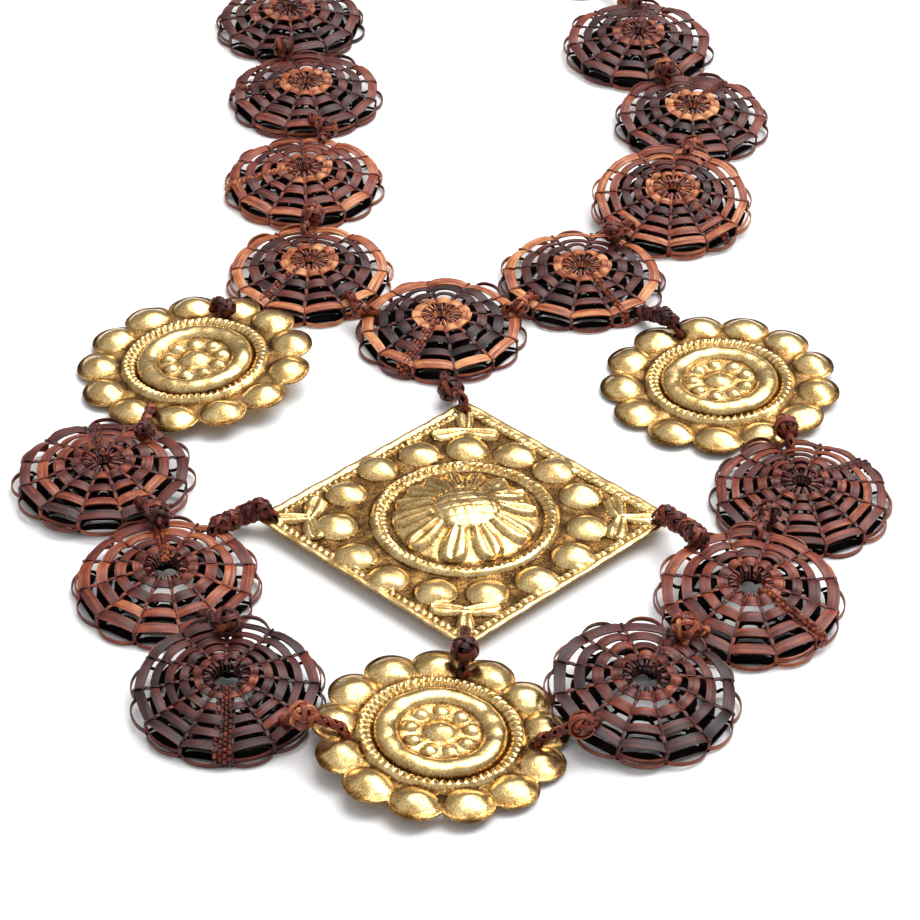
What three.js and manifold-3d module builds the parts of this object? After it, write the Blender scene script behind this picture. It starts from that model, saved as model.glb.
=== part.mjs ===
// Bib necklace laid flat: a closed chain of woven fibre rosettes, a lower chain with three embossed
// brass medallions, and an embossed brass rhombus hung between them. Millimetres, +Z up, the wearer's
// neck towards +Y, resting on z = 0 with the origin under the middle of the whole.
import * as THREE from "three";
import { mergeVertices } from "three/addons/utils/BufferGeometryUtils.js";
import Module from "manifold-3d";

const wasm = await Module();
wasm.setup();

const clearance = 0.35; // between pieces that touch on the real necklace

// Woven rosettes: a stiff shallow dome over a flat lower layer, both open at the hub.
const rosetteRadius = 22; // to the middle of a rim scallop
const rosetteHeight = 7.6;
const scallopDepth = 1.2; // how far the rim draws in at each spoke
const spokes = 12;
const rimHeight = 2.2; // the strip that stands on edge round the rim
const bandHeight = 4.3; // the outermost band of the crown
const hubRadius = 2.6;
const weaveThickness = 1.2;
const bandWidth = 1.85; // the outermost band, seen from above
const windowLength = 8; // the openings between the spokes, inside the outermost band
const postWidth = 2; // a spoke with the strips wound round it

// Ties: braided fibre, knotted between two neighbours.
const tieRadius = 1.2;
const knotRadius = 3.2;
const tieDepth = 2.6; // how far a tie's end reaches below the band that it goes round

// Embossed brass sheet.
const sheetThickness = 0.8;
const rimBosses = 13;
const bossRise = 2.2;
const rimBossLength = 11; // along the rim
const rimBossWidth = 10;
const bossLip = 0.5;
const ropeRingRadius = 16.9;
const ropeWidth = 3.6;
const ropeRise = 1.3;
const wideRingRadius = 12;
const wideRingWidth = 6.4;
const wideRingRise = 2.2;
const middleBossRadius = 3.6;
const middleBossRise = 1.8;
const smallBosses = 9;
const smallBossRadius = 1.7;
const smallBossRing = 6.8;
const smallBossRise = 1;
const lobeDepth = 3.4; // how far the scalloped edge draws in between two rim bosses
const lobeShoulder = 0.22; // half the outer end of a lobe, as a share of a boss's angle
const holeRadius = 1.8;
const sheetLift = 0.6; // the medallions lie on the strips that pass beneath them

// Rhombus plate.
const plateLength = 100.2; // corner to corner across the chest
const plateDepth = 97.4; // corner to corner down the chest
const plateLift = 2.6; // the middle of the sheet above the surface
const borderWidth = 3.6;
const borderRise = 1;
const plateBosses = 15;
const plateBossRadius = 5.2;
const plateBossRing = 29.2;
const plateBossTurn = -7;
const plateRopeRadius = 20.5;
const moundRadius = 17.4; // the flower's petals lie on a mound that rises to its domed middle
const moundRise = 3.2;
const petalLength = 8.8;
const petalWidth = 3.6;
const petalRise = 1.2;
const flowerDomeRadius = 8;
const flowerDomeRise = 2;
const leafRoot = 8.6; // from a corner's hole to where its three leaves meet
const leafLength = 8;
const leafWidth = 3.2;
const leafRise = 0.9;
const leafSpread = 98; // degrees from the middle leaf, which points to the hole, to each of the others
const cornerHoleInset = 4.6;

// Clasp at the back of the neck.
const claspWire = 0.9;
const claspLoopRadius = 4.2;

// Where each rosette lies: the middle of its rim, the turn of its first spoke, and how far its far side
// and its right side are tipped up, in degrees.
const rosettePlaces = [
  { name: "left_0", x: -30, y: 260, spin: 12, far: 0, right: 0 },
  { name: "left_1", x: -50.5, y: 217.9, spin: 34, far: 0, right: 0 },
  { name: "left_2", x: -44.1, y: 174.5, spin: 16, far: 0, right: 0 },
  { name: "left_3", x: -42.8, y: 126.7, spin: 4, far: 0, right: 0 },
  { name: "left_4", x: -39.6, y: 79.8, spin: 28, far: 0, right: 0 },
  { name: "centre", x: -4.8, y: 53.9, spin: 10, far: 0, right: 0 },
  { name: "right_4", x: 32, y: 77.4, spin: 21, far: 0, right: 0 },
  { name: "right_3", x: 57.4, y: 112.2, spin: 25, far: 8, right: 0 },
  { name: "right_2", x: 65.6, y: 160, spin: 28, far: 1.5, right: 0 },
  { name: "right_1", x: 52.2, y: 202, spin: 6, far: 3, right: 0 },
  { name: "right_0", x: 36, y: 258.5, spin: 18, far: 0, right: 0 },
  { name: "lower_left_1", x: -86.1, y: -11.3, spin: 18, far: -2, right: 0 },
  { name: "lower_left_2", x: -68, y: -52.2, spin: 13, far: 1.5, right: 0 },
  { name: "lower_left_3", x: -51.7, y: -92.9, spin: 3, far: 4.6, right: 0 },
  { name: "lower_right_1", x: 81.8, y: -18.9, spin: 12, far: 0.5, right: 0 },
  { name: "lower_right_2", x: 66.6, y: -59.7, spin: 13, far: 6, right: 0 },
  { name: "lower_right_3", x: 40.4, y: -94, spin: 12, far: 3.8, right: -5.6 },
];

// Medallions, with the turn of the first rim boss, the radius of the scalloped edge and the radius at
// which the tie holes are punched. A hole is numbered by the rim boss that it follows, anticlockwise.
const medallionPlaces = [
  { name: "left", x: -67.1, y: 37.3, spin: 12.3, far: 0, right: 4.7, edge: 30.2, punch: 24, holes: [2, 8] },
  { name: "right", x: 65.5, y: 30.3, spin: 16, far: 0, right: 1.5, edge: 30.2, punch: 23, holes: [3, 10] },
  {
    name: "bottom", x: -4.3, y: -106.7, spin: 7.8, far: 0, right: -4.1,
    edge: 28.8, punch: 20.9, holes: [2, 6, 9, 12],
  },
];

const platePlace = { x: 1.25, y: -28.6 };

// The flower's petals, by the direction of each. They were struck by eye and aren't evenly spaced.
const petalDirections = [7, 33, 57, 80, 101, 121, 141, 162, 187, 222, 259, 293, 331];

// Ties, each from one piece to the next, with the place of its knot.
const chainTies = [
  { from: "left_0", to: "left_1", x: -41, y: 239 },
  { from: "left_1", to: "left_2", x: -51.2, y: 192.5 },
  { from: "left_2", to: "left_3", x: -37.4, y: 148.8 },
  { from: "left_3", to: "left_4", x: -39.5, y: 102.4 },
  { from: "left_4", to: "centre", x: -25.5, y: 59.5 },
  { from: "centre", to: "right_4", x: 15.2, y: 60.8 },
  { from: "right_4", to: "right_3", x: 40.6, y: 91.5 },
  { from: "right_3", to: "right_2", x: 64.5, y: 137.8 },
  { from: "right_2", to: "right_1", x: 59, y: 178.8 },
  { from: "right_1", to: "right_0", x: 50.2, y: 228.4 },
  { from: "lower_left_1", to: "lower_left_2", x: -71.2, y: -34 },
  { from: "lower_left_2", to: "lower_left_3", x: -52.4, y: -77.4 },
  { from: "lower_right_1", to: "lower_right_2", x: 72.8, y: -32.8 },
  { from: "lower_right_2", to: "lower_right_3", x: 50.5, y: -78.4 },
];

// Ties from a rosette to a punched hole in the brass.
const brassTies = [
  { from: "left_4", to: "left", hole: 2, x: -59.2, y: 62.6 },
  { from: "lower_left_1", to: "left", hole: 8, x: -76.6, y: 1.2 },
  { from: "right_4", to: "right", hole: 3, x: 52.6, y: 56.5 },
  { from: "lower_right_1", to: "right", hole: 10, x: 79.9, y: 2.8 },
  { from: "centre", to: "plate", hole: 1, x: -2.9, y: 25.8 },
  { from: "lower_left_2", to: "plate", hole: 2, x: -51.6, y: -27.5 },
  { from: "lower_right_2", to: "plate", hole: 0, x: 53.4, y: -40.4 },
  { from: "lower_left_3", to: "bottom", hole: 6, x: -34.2, y: -109 },
  { from: "lower_right_3", to: "bottom", hole: 12, x: 26.3, y: -111 },
];

// Ties from a corner of the plate to a punched hole in a medallion.
const plateTies = [
  { corner: 3, to: "bottom", hole: 2, x: 1.1, y: -84 },
];

const turn = THREE.MathUtils.degToRad;

// Joining and cutting of closed meshes.
function solid(geometry) {
  const bare = geometry.index ? geometry.toNonIndexed() : geometry.clone();
  bare.deleteAttribute("normal");
  bare.deleteAttribute("uv");
  const merged = mergeVertices(bare, 1e-4);
  const vertProperties = merged.attributes.position.array;
  const triVerts = new Uint32Array(merged.index.array);
  return new wasm.Manifold(new wasm.Mesh({ numProp: 3, vertProperties, triVerts }));
}

function join(solids) {
  return solids.reduce((whole, next) => whole.add(next));
}

function cut(body, cutters) {
  return cutters.reduce((rest, next) => rest.subtract(next), body);
}

function geometryOf(made) {
  const mesh = made.getMesh();
  const geometry = new THREE.BufferGeometry();
  geometry.setAttribute("position", new THREE.BufferAttribute(mesh.vertProperties, 3));
  geometry.setIndex(new THREE.BufferAttribute(mesh.triVerts, 1));
  const faceted = geometry.toNonIndexed();
  faceted.computeVertexNormals();
  return faceted;
}

// A body turned about Z from a profile of [radius, height] points.
function turned(profile, segments) {
  const points = profile.map(([radius, height]) => new THREE.Vector2(radius, height));
  const lathe = new THREE.LatheGeometry(points, segments);
  lathe.rotateX(Math.PI / 2);
  return solid(lathe);
}

function prism(outline, bottom, top, hole) {
  const shape = new THREE.Shape(outline.map(([x, y]) => new THREE.Vector2(x, y)));
  if (hole) shape.holes.push(new THREE.Path(hole.map(([x, y]) => new THREE.Vector2(x, y))));
  const body = new THREE.ExtrudeGeometry(shape, { depth: top - bottom, bevelEnabled: false });
  body.translate(0, 0, bottom);
  return solid(body);
}

function polar(radius, degrees) {
  return [radius * Math.cos(turn(degrees)), radius * Math.sin(turn(degrees))];
}

// Woven rosette, the same for every place in the chain. Its profile runs from the hub's lower edge out
// along the flat layer, up over the crown, and back through the hollow between the two layers.
const spokeAngle = 360 / spokes;
const bandRadius = rosetteRadius - scallopDepth - clearance;
const windowOuter = bandRadius - bandWidth;
const windowInner = windowOuter - windowLength;

function domeHeight(radius) {
  if (radius > rosetteRadius) return 0;
  if (radius > bandRadius) return rimHeight;
  const along = Math.max(0, radius - hubRadius) / (bandRadius - hubRadius);
  return rosetteHeight + (bandHeight - rosetteHeight) * along;
}

function wovenShell() {
  const profile = [[hubRadius, 0], [bandRadius, 0], [bandRadius, bandHeight], [hubRadius, rosetteHeight],
    [hubRadius, rosetteHeight - weaveThickness], [bandRadius - weaveThickness, weaveThickness],
    [hubRadius, weaveThickness], [hubRadius, 0]];
  return turned(profile, spokes);
}

function scallopedRim() {
  const outline = [];
  const inner = [];
  for (let i = 0; i < spokes * 2; i++) {
    outline.push(polar(i % 2 ? rosetteRadius : rosetteRadius - scallopDepth, (i * spokeAngle) / 2));
  }
  for (let i = 0; i < spokes; i++) inner.push(polar(bandRadius - weaveThickness / 2, -i * spokeAngle));
  return prism(outline, 0, rimHeight, inner);
}

function spokeShare(radius) {
  return THREE.MathUtils.radToDeg(postWidth / 2 / radius);
}

// An opening between every second pair of spokes, down into the hollow.
function rosetteWindows() {
  return Array.from({ length: spokes / 2 }, (_, i) => {
    const start = i * 2 * spokeAngle;
    const end = start + spokeAngle;
    const corners = [[windowInner, start, 1], [windowOuter, start, 1], [windowOuter, end, -1],
      [windowInner, end, -1]];
    const outline = corners.map(([radius, angle, side]) => polar(radius, angle + side * spokeShare(radius)));
    return prism(outline, weaveThickness, rosetteHeight + 1);
  });
}

function rosetteSolid() {
  return cut(wovenShell().add(scallopedRim()), rosetteWindows());
}

// A shallow boss as a cap of facets. The shoulder is where its flank meets its crown, as a share of its
// half width, and a boss without one is a plain peak.
function boss({ halfLength, halfWidth, bottom, top, sides, shoulder = 0.6 }) {
  const profile = [[0, bottom], [1, bottom], [shoulder, bottom + (top - bottom) * 0.8], [0, top]]
    .filter((_, i) => shoulder || i !== 2);
  const cap = new THREE.LatheGeometry(profile.map(([r, z]) => new THREE.Vector2(r, z)), sides);
  cap.rotateX(Math.PI / 2);
  cap.scale(halfWidth, halfLength, 1);
  return cap;
}

// Bosses in a ring: caps to join, and smaller caps that hollow them from beneath.
const hollowInset = sheetThickness * 0.9;

function bossRing({ count, ring, phase, halfLength, halfWidth, rise, sides, shoulder }) {
  const base = sheetThickness / 2;
  const raised = [];
  const hollowed = [];
  const place = (cap, angle) => solid(cap.rotateZ(turn(angle)).translate(...polar(ring, angle), 0));
  for (let i = 0; i < count; i++) {
    const angle = phase + (i * 360) / count;
    const top = sheetThickness + rise;
    const outside = boss({ halfLength, halfWidth, bottom: base, top, sides, shoulder });
    const inside = boss({
      halfLength: halfLength - hollowInset, halfWidth: halfWidth - hollowInset,
      bottom: -base, top: rise + base / 2, sides, shoulder: 0,
    });
    raised.push(place(outside, angle));
    hollowed.push(place(inside, angle));
  }
  return { raised, hollowed };
}

function raisedRing(radius, width, rise, crest, segments) {
  const half = width / 2;
  const top = sheetThickness;
  const flat = (half * crest) || 0;
  const profile = [[radius - half, top / 2], [radius + half, top / 2], [radius + half, top],
    [radius + flat, top + rise], [radius - flat, top + rise], [radius - half, top], [radius - half, top / 2]]
    .filter((_, i) => crest || i !== 4);
  return turned(profile, segments);
}

function ringGroove(radius, width, rise, segments) {
  const half = width / 2 - sheetThickness * 0.8;
  return turned([[radius - half, -1], [radius + half, -1], [radius + half, 0], [radius, rise],
    [radius - half, 0], [radius - half, -1]], segments);
}

const ringSides = 14;
const moundSides = 13;
const rimBossAngle = 360 / rimBosses;

function medallionOutline(edge) {
  const outline = [];
  for (let i = 0; i < rimBosses; i++) {
    const middle = i * rimBossAngle;
    outline.push(polar(edge, middle - rimBossAngle * lobeShoulder));
    outline.push(polar(edge, middle + rimBossAngle * lobeShoulder));
    outline.push(polar(edge - lobeDepth, middle + rimBossAngle / 2));
  }
  return outline;
}

function punch(x, y) {
  const tool = new THREE.CylinderGeometry(holeRadius, holeRadius, sheetThickness + bossRise * 2, 6);
  return solid(tool.rotateX(Math.PI / 2).translate(x, y, 0));
}

function medallionHole(place, hole) {
  return polar(place.punch, (hole + 0.5) * rimBossAngle);
}

function medallionSolid(place) {
  const rim = bossRing({
    count: rimBosses, ring: place.edge - bossLip - rimBossWidth / 2, phase: 0,
    halfLength: rimBossLength / 2, halfWidth: rimBossWidth / 2, rise: bossRise, sides: 6,
  });
  const small = bossRing({
    count: smallBosses, ring: smallBossRing, phase: 0,
    halfLength: smallBossRadius, halfWidth: smallBossRadius, rise: smallBossRise, sides: 4, shoulder: 0,
  });
  const middle = boss({
    halfLength: middleBossRadius, halfWidth: middleBossRadius,
    bottom: sheetThickness / 2, top: sheetThickness + middleBossRise, sides: 8,
  });
  const raised = [prism(medallionOutline(place.edge), 0, sheetThickness), ...rim.raised, ...small.raised,
    solid(middle), raisedRing(wideRingRadius, wideRingWidth, wideRingRise, 0.45, ringSides),
    raisedRing(ropeRingRadius, ropeWidth, ropeRise, 0, ringSides)];
  const groove = ringGroove(wideRingRadius, wideRingWidth, wideRingRise, ringSides);
  const holes = place.holes.map((hole) => punch(...medallionHole(place, hole)));
  return cut(cut(join(raised), [...rim.hollowed, groove]), holes);
}

// Rhombus plate, with a hole in each corner: 0 right, 1 top, 2 left, 3 bottom.
const plateCorners = [[plateLength / 2, 0], [0, plateDepth / 2], [-plateLength / 2, 0], [0, -plateDepth / 2]];
const plateSide = Math.hypot(plateLength, plateDepth) / 2;

function plateHole(corner) {
  const [x, y] = plateCorners[corner];
  const shorter = 1 - cornerHoleInset / Math.hypot(x, y);
  return [x * shorter, y * shorter];
}

function plateBorder() {
  const share = 1 - borderWidth / ((plateLength * plateDepth) / 4 / plateSide);
  const shape = new THREE.Shape(plateCorners.map(([x, y]) => new THREE.Vector2(x, y)));
  const inner = plateCorners.map(([x, y]) => new THREE.Vector2(x * share, y * share));
  shape.holes.push(new THREE.Path(inner.reverse()));
  const depth = sheetThickness / 2 + borderRise;
  const frame = new THREE.ExtrudeGeometry(shape, { depth, bevelEnabled: false });
  return solid(frame.translate(0, 0, sheetThickness / 2));
}

// A petal or leaf with a crest, its length along X and its middle at the origin.
function petalCap(length, width, rise) {
  return boss({
    halfLength: width / 2, halfWidth: length / 2,
    bottom: sheetThickness / 2, top: sheetThickness + rise, sides: 4, shoulder: 0,
  });
}

const moundSlope = moundRise / (moundRadius - flowerDomeRadius);

function flowerPetals() {
  return petalDirections.map((direction) => {
    const petal = petalCap(petalLength, petalWidth, petalRise);
    petal.rotateY(Math.atan(moundSlope));
    const middle = flowerDomeRadius + petalLength / 2;
    petal.translate(middle, 0, (moundRadius - middle) * moundSlope);
    return solid(petal.rotateZ(turn(direction)));
  });
}

// The mound and the domed middle of the flower, or the hollow beneath them.
function flowerMound(inset, bottom, rise) {
  const foot = moundRadius - inset * 2;
  const dome = flowerDomeRadius - inset;
  const shoulder = rise + flowerDomeRise * 0.8;
  return turned([[0, bottom], [foot, bottom], [foot, sheetThickness - inset], [dome, rise],
    [dome * 0.6, shoulder], [0, rise + flowerDomeRise]], moundSides);
}

function cornerLeaves() {
  return plateCorners.flatMap((corner, i) => {
    const [hx, hy] = plateHole(i);
    const [rx, ry] = polar(leafRoot, i * 90 + 180);
    return [-leafSpread, 0, leafSpread].map((spread) => {
      const cap = petalCap(leafLength, leafWidth, leafRise);
      cap.translate(leafLength / 2, 0, 0);
      cap.rotateZ(turn(i * 90 + spread));
      return solid(cap.translate(hx + rx, hy + ry, 0));
    });
  });
}

function plateSolid() {
  const bosses = bossRing({
    count: plateBosses, ring: plateBossRing, phase: plateBossTurn,
    halfLength: plateBossRadius, halfWidth: plateBossRadius, rise: bossRise, sides: 6,
  });
  const half = sheetThickness / 2;
  const raised = [prism(plateCorners, 0, sheetThickness), plateBorder(), ...bosses.raised, ...flowerPetals(),
    ...cornerLeaves(), flowerMound(0, half, sheetThickness + moundRise),
    raisedRing(plateRopeRadius, ropeWidth, ropeRise, 0, ringSides)];
  const holes = plateCorners.map((_, i) => punch(...plateHole(i)));
  return cut(join(raised), [...bosses.hollowed, flowerMound(hollowInset, -half, moundRise), ...holes]);
}

// Places: the matrix from a piece's own frame to the necklace, tipped and standing on the surface.
function placed({ x, y, spin, far, right }, reach, lift = 0) {
  const tip = new THREE.Matrix4().makeRotationFromEuler(new THREE.Euler(turn(far), -turn(right), 0));
  const normal = new THREE.Vector3(0, 0, 1).applyMatrix4(tip);
  const rise = reach * Math.sqrt(Math.max(0, 1 - normal.z * normal.z)) + lift;
  return new THREE.Matrix4().makeTranslation(x, y, rise)
    .multiply(tip)
    .multiply(new THREE.Matrix4().makeRotationZ(turn(spin)));
}

const rosettes = rosettePlaces.map((place) => ({ ...place, matrix: placed(place, rosetteRadius) }));
const medallions = medallionPlaces
  .map((place) => ({ ...place, matrix: placed(place, place.edge, sheetLift) }));
const plateMatrix = placed({ ...platePlace, spin: 0, far: 0, right: 0 }, 0, plateLift);

// The highest surface above a point of the plan, so that a tie can lie over what is there.
function inPlate(x, y) {
  return (2 * Math.abs(x)) / plateLength + (2 * Math.abs(y)) / plateDepth <= 1;
}

function surfaceOver(x, y) {
  const surfaces = [
    ...rosettes.map(({ matrix }) => [matrix, (px, py) => domeHeight(Math.hypot(px, py))]),
    ...medallions.map(({ matrix, edge }) =>
      [matrix, (px, py) => (Math.hypot(px, py) < edge ? sheetThickness + bossRise : 0)]),
    [plateMatrix, (px, py) => (inPlate(px, py) ? sheetThickness + borderRise : 0)],
  ];
  let highest = 0;
  for (const [matrix, height] of surfaces) {
    const own = seenFrom(matrix, x, y);
    const rise = height(own.x, own.y);
    if (rise > 0) highest = Math.max(highest, new THREE.Vector3(own.x, own.y, rise).applyMatrix4(matrix).z);
  }
  return highest;
}

// The height at which a round body of this radius lies clear on what is beneath it.
function resting(x, y, radius) {
  const reach = radius + clearance;
  let height = reach;
  for (const share of [0, 0.3, 0.5, 0.65, 0.8, 0.95]) {
    for (let angle = 0; angle < 360; angle += 30) {
      const [dx, dy] = polar(reach * share, angle);
      const fall = reach * Math.sqrt(1 - share * share);
      height = Math.max(height, surfaceOver(x + dx, y + dy) + fall);
    }
  }
  return height;
}

const legRadius = windowOuter * Math.cos(turn(spokeAngle / 2)) - clearance - tieRadius;
const legSpread = tieRadius * 1.6; // how far a tie leans outwards between its leg and the band's top
const holeSpread = tieRadius * 1.8; // and between a punched hole and the height of the bosses beside it

// The direction nearest to a tie's own that passes through an opening between two spokes.
function openDirection(angle) {
  const pitch = spokeAngle * 2;
  const sector = Math.floor(angle / pitch) * pitch;
  const narrow = spokeShare(legRadius) + THREE.MathUtils.radToDeg((tieRadius + clearance) / legRadius);
  const candidates = [sector - pitch, sector, sector + pitch]
    .map((start) => THREE.MathUtils.clamp(angle, start + narrow, start + spokeAngle - narrow));
  return candidates.sort((a, b) => Math.abs(a - angle) - Math.abs(b - angle))[0];
}

// A smooth route that an extrusion samples at its own points, however far apart they lie.
class Route extends THREE.CatmullRomCurve3 {
  getPointAt(share) {
    return this.getPoint(share);
  }

  getTangentAt(share) {
    return this.getTangent(share);
  }
}

const cordSides = 5;

function tube(points, radius) {
  const corners = Array.from({ length: cordSides }, (_, i) => polar(radius, (i * 360) / cordSides));
  const section = new THREE.Shape(corners.map(([x, y]) => new THREE.Vector2(x, y)));
  const extrudePath = new Route(points, false, "centripetal");
  return solid(new THREE.ExtrudeGeometry(section, { steps: points.length - 1, extrudePath }));
}

// A point of the surface's plan in a tipped piece's own frame, at about the piece's height.
function seenFrom(matrix, x, y) {
  return new THREE.Vector3(x, y, matrix.elements[14]).applyMatrix4(matrix.clone().invert());
}

// A tie's end in a rosette: down through the open ring, inside the outermost band.
function rosetteEnd(rosette, x, y) {
  const towards = seenFrom(rosette.matrix, x, y);
  const angle = THREE.MathUtils.radToDeg(Math.atan2(towards.y, towards.x));
  const open = openDirection(angle);
  const bandTop = domeHeight(windowOuter);
  const over = bandTop + tieRadius * 2 + clearance;
  const [lx, ly] = polar(legRadius, open);
  return [[lx, ly, bandTop - tieDepth], [lx, ly, bandTop + tieRadius / 2],
    [...polar(legRadius + legSpread, open), over]]
    .map((point) => new THREE.Vector3(...point).applyMatrix4(rosette.matrix));
}

// A tie's end in brass: over the edge of the sheet and down through the hole.
function holeEnd(matrix, [hx, hy], x, y) {
  const towards = seenFrom(matrix, x, y);
  const outward = new THREE.Vector2(towards.x - hx, towards.y - hy).normalize().multiplyScalar(holeSpread);
  const above = sheetThickness + bossRise + tieRadius + clearance;
  const beside = [hx + outward.x, hy + outward.y, above];
  return [[hx, hy, -sheetLift / 2], [hx, hy, sheetThickness + tieRadius], beside]
    .map((point) => new THREE.Vector3(...point).applyMatrix4(matrix));
}

function tieSolid(start, end, x, y) {
  const height = resting(x, y, knotRadius);
  const middle = new THREE.Vector3(x, y, height);
  const points = [...start, middle, ...end.reverse()];
  const knot = new THREE.SphereGeometry(knotRadius, 6, 3);
  knot.rotateX(Math.PI / 2);
  knot.translate(x, y, height);
  return tube(points, tieRadius).add(solid(knot));
}

// Clasp: a fibre loop from one end of the chain, and a brass hook from the other that holds it.
const loopHeight = claspWire * 3 + tieRadius + clearance * 2;
const loopEnd = rosettes.find(({ name }) => name === "left_0");
const hookEnd = rosettes.find(({ name }) => name === "right_0");
const claspLine = (loopEnd.y + hookEnd.y) / 2;
const loopMiddle = (loopEnd.x + hookEnd.x) / 2 - claspLoopRadius * 0.6;

function alongClasp(x, height) {
  return new THREE.Vector3(x, claspLine, height);
}

function claspLoop() {
  const ring = new THREE.TorusGeometry(claspLoopRadius, tieRadius, 5, 10);
  ring.translate(loopMiddle, claspLine, loopHeight);
  const near = loopMiddle - claspLoopRadius;
  const points = [...rosetteEnd(loopEnd, near, claspLine), alongClasp(near, loopHeight)];
  return tube(points, tieRadius).add(solid(ring));
}

function claspHook() {
  // Between the middle of the loop's cord and the middle of the hook's wire.
  const apart = tieRadius + claspWire + clearance * 1.5;
  const inside = loopMiddle + claspLoopRadius - apart;
  const beyond = inside + apart * 1.5;
  const points = [...rosetteEnd(hookEnd, beyond + claspWire * 2, claspLine),
    alongClasp(beyond + claspWire, loopHeight + apart), alongClasp(inside + claspWire, loopHeight + apart),
    alongClasp(inside - claspWire, loopHeight + claspWire / 2),
    alongClasp(inside + claspWire, loopHeight - apart), alongClasp(beyond + claspWire, loopHeight - apart)];
  return tube(points, claspWire);
}

const wovenFibre = new THREE.MeshStandardMaterial({ color: 0x6b3a2a, roughness: 0.6, metalness: 0 });
const braidedFibre = new THREE.MeshStandardMaterial({ color: 0x7a4330, roughness: 0.65, metalness: 0 });
const brass = new THREE.MeshStandardMaterial({ color: 0xc79a3c, roughness: 0.3, metalness: 1 });

const necklace = new THREE.Group();

function addPiece(name, geometry, material, matrix) {
  const piece = new THREE.Mesh(geometry, material);
  piece.name = name;
  if (matrix) matrix.decompose(piece.position, piece.quaternion, piece.scale);
  necklace.add(piece);
}

const rosetteGeometry = geometryOf(rosetteSolid());
for (const { name, matrix } of rosettes) addPiece(`rosette_${name}`, rosetteGeometry, wovenFibre, matrix);
for (const place of medallions) {
  addPiece(`medallion_${place.name}`, geometryOf(medallionSolid(place)), brass, place.matrix);
}
addPiece("rhombus_plate", geometryOf(plateSolid()), brass, plateMatrix);

const rosetteNamed = (name) => rosettes.find((rosette) => rosette.name === name);
const medallionNamed = (name) => medallions.find((medallion) => medallion.name === name);

for (const { from, to, x, y } of chainTies) {
  const ends = [from, to].map((name) => rosetteEnd(rosetteNamed(name), x, y));
  addPiece(`tie_${from}_to_${to}`, geometryOf(tieSolid(ends[0], ends[1], x, y)), braidedFibre);
}

for (const { from, to, hole, x, y } of brassTies) {
  const start = rosetteEnd(rosetteNamed(from), x, y);
  const medallion = medallionNamed(to);
  const end = medallion
    ? holeEnd(medallion.matrix, medallionHole(medallion, hole), x, y)
    : holeEnd(plateMatrix, plateHole(hole), x, y);
  const target = medallion ? `medallion_${to}` : to;
  addPiece(`tie_${from}_to_${target}`, geometryOf(tieSolid(start, end, x, y)), braidedFibre);
}

for (const { corner, to, hole, x, y } of plateTies) {
  const medallion = medallionNamed(to);
  const start = holeEnd(plateMatrix, plateHole(corner), x, y);
  const end = holeEnd(medallion.matrix, medallionHole(medallion, hole), x, y);
  addPiece(`tie_plate_to_medallion_${to}`, geometryOf(tieSolid(start, end, x, y)), braidedFibre);
}

addPiece("clasp_loop", geometryOf(claspLoop()), braidedFibre);
addPiece("clasp_hook", geometryOf(claspHook()), brass);

const extent = new THREE.Box3().setFromObject(necklace, true);
necklace.position.set(-(extent.min.x + extent.max.x) / 2, -(extent.min.y + extent.max.y) / 2, -extent.min.z);

export default necklace;
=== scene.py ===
import math

import bpy
import numpy as np
from mathutils import Matrix, Vector


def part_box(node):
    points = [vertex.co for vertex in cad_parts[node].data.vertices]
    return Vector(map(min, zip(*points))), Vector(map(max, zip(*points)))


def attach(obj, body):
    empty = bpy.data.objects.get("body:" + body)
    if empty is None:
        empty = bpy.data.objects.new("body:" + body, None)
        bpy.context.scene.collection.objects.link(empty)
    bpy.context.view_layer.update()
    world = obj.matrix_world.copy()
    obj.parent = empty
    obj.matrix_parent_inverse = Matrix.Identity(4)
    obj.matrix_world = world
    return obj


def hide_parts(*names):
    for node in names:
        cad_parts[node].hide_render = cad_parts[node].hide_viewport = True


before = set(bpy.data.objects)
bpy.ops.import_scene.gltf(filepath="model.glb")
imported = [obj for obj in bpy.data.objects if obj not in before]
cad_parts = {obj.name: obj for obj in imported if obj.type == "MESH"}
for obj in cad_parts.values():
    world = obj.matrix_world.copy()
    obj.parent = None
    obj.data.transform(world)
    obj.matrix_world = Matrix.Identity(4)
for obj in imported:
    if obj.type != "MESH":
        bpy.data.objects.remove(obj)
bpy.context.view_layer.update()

MM = 0.001


# The necklace's own layout: millimetres from the point between the plate and the neck chain that the
# photograph's camera aims at. The middle rosette lies flat, so its node's box gives where that point is.
def flat_centre(node):
    low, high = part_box(node)
    return np.array([(low[0] + high[0]) / 2, (low[1] + high[1]) / 2, 0]) / MM


MIDDLE_ROSETTE = np.array([-4.8, 53.9, 0])
layout_origin = flat_centre("rosette_centre") - MIDDLE_ROSETTE


# Camera: a long lens on a full-frame body that looks down along the chest at the necklace from the front.
def added(name, data):
    made = bpy.data.objects.new(name, data)
    bpy.context.scene.collection.objects.link(made)
    return made


CAMERA_PITCH = math.radians(36)
CAMERA_DISTANCE = 823.8
CAMERA_LENS, CAMERA_SENSOR = 131.5, 36
camera_data = bpy.data.cameras.new("camera")
camera_data.lens = CAMERA_LENS
camera_data.sensor_width = CAMERA_SENSOR
camera_data.clip_end = 20
camera = added("camera", camera_data)
camera_offset = np.array([0, -math.cos(CAMERA_PITCH), math.sin(CAMERA_PITCH)]) * CAMERA_DISTANCE
camera.location = (layout_origin + camera_offset) * MM
camera.rotation_euler = (math.pi / 2 - CAMERA_PITCH, 0, 0)
bpy.context.scene.camera = camera


# Surface: a matt white sheet of coated card that runs out of view, as a product photographer uses.
def linear(hex_colour):
    parts = [int(hex_colour[i:i + 2], 16) / 255 for i in (1, 3, 5)]
    return (*[c / 12.92 if c <= 0.04045 else ((c + 0.055) / 1.055) ** 2.4 for c in parts], 1)


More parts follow.
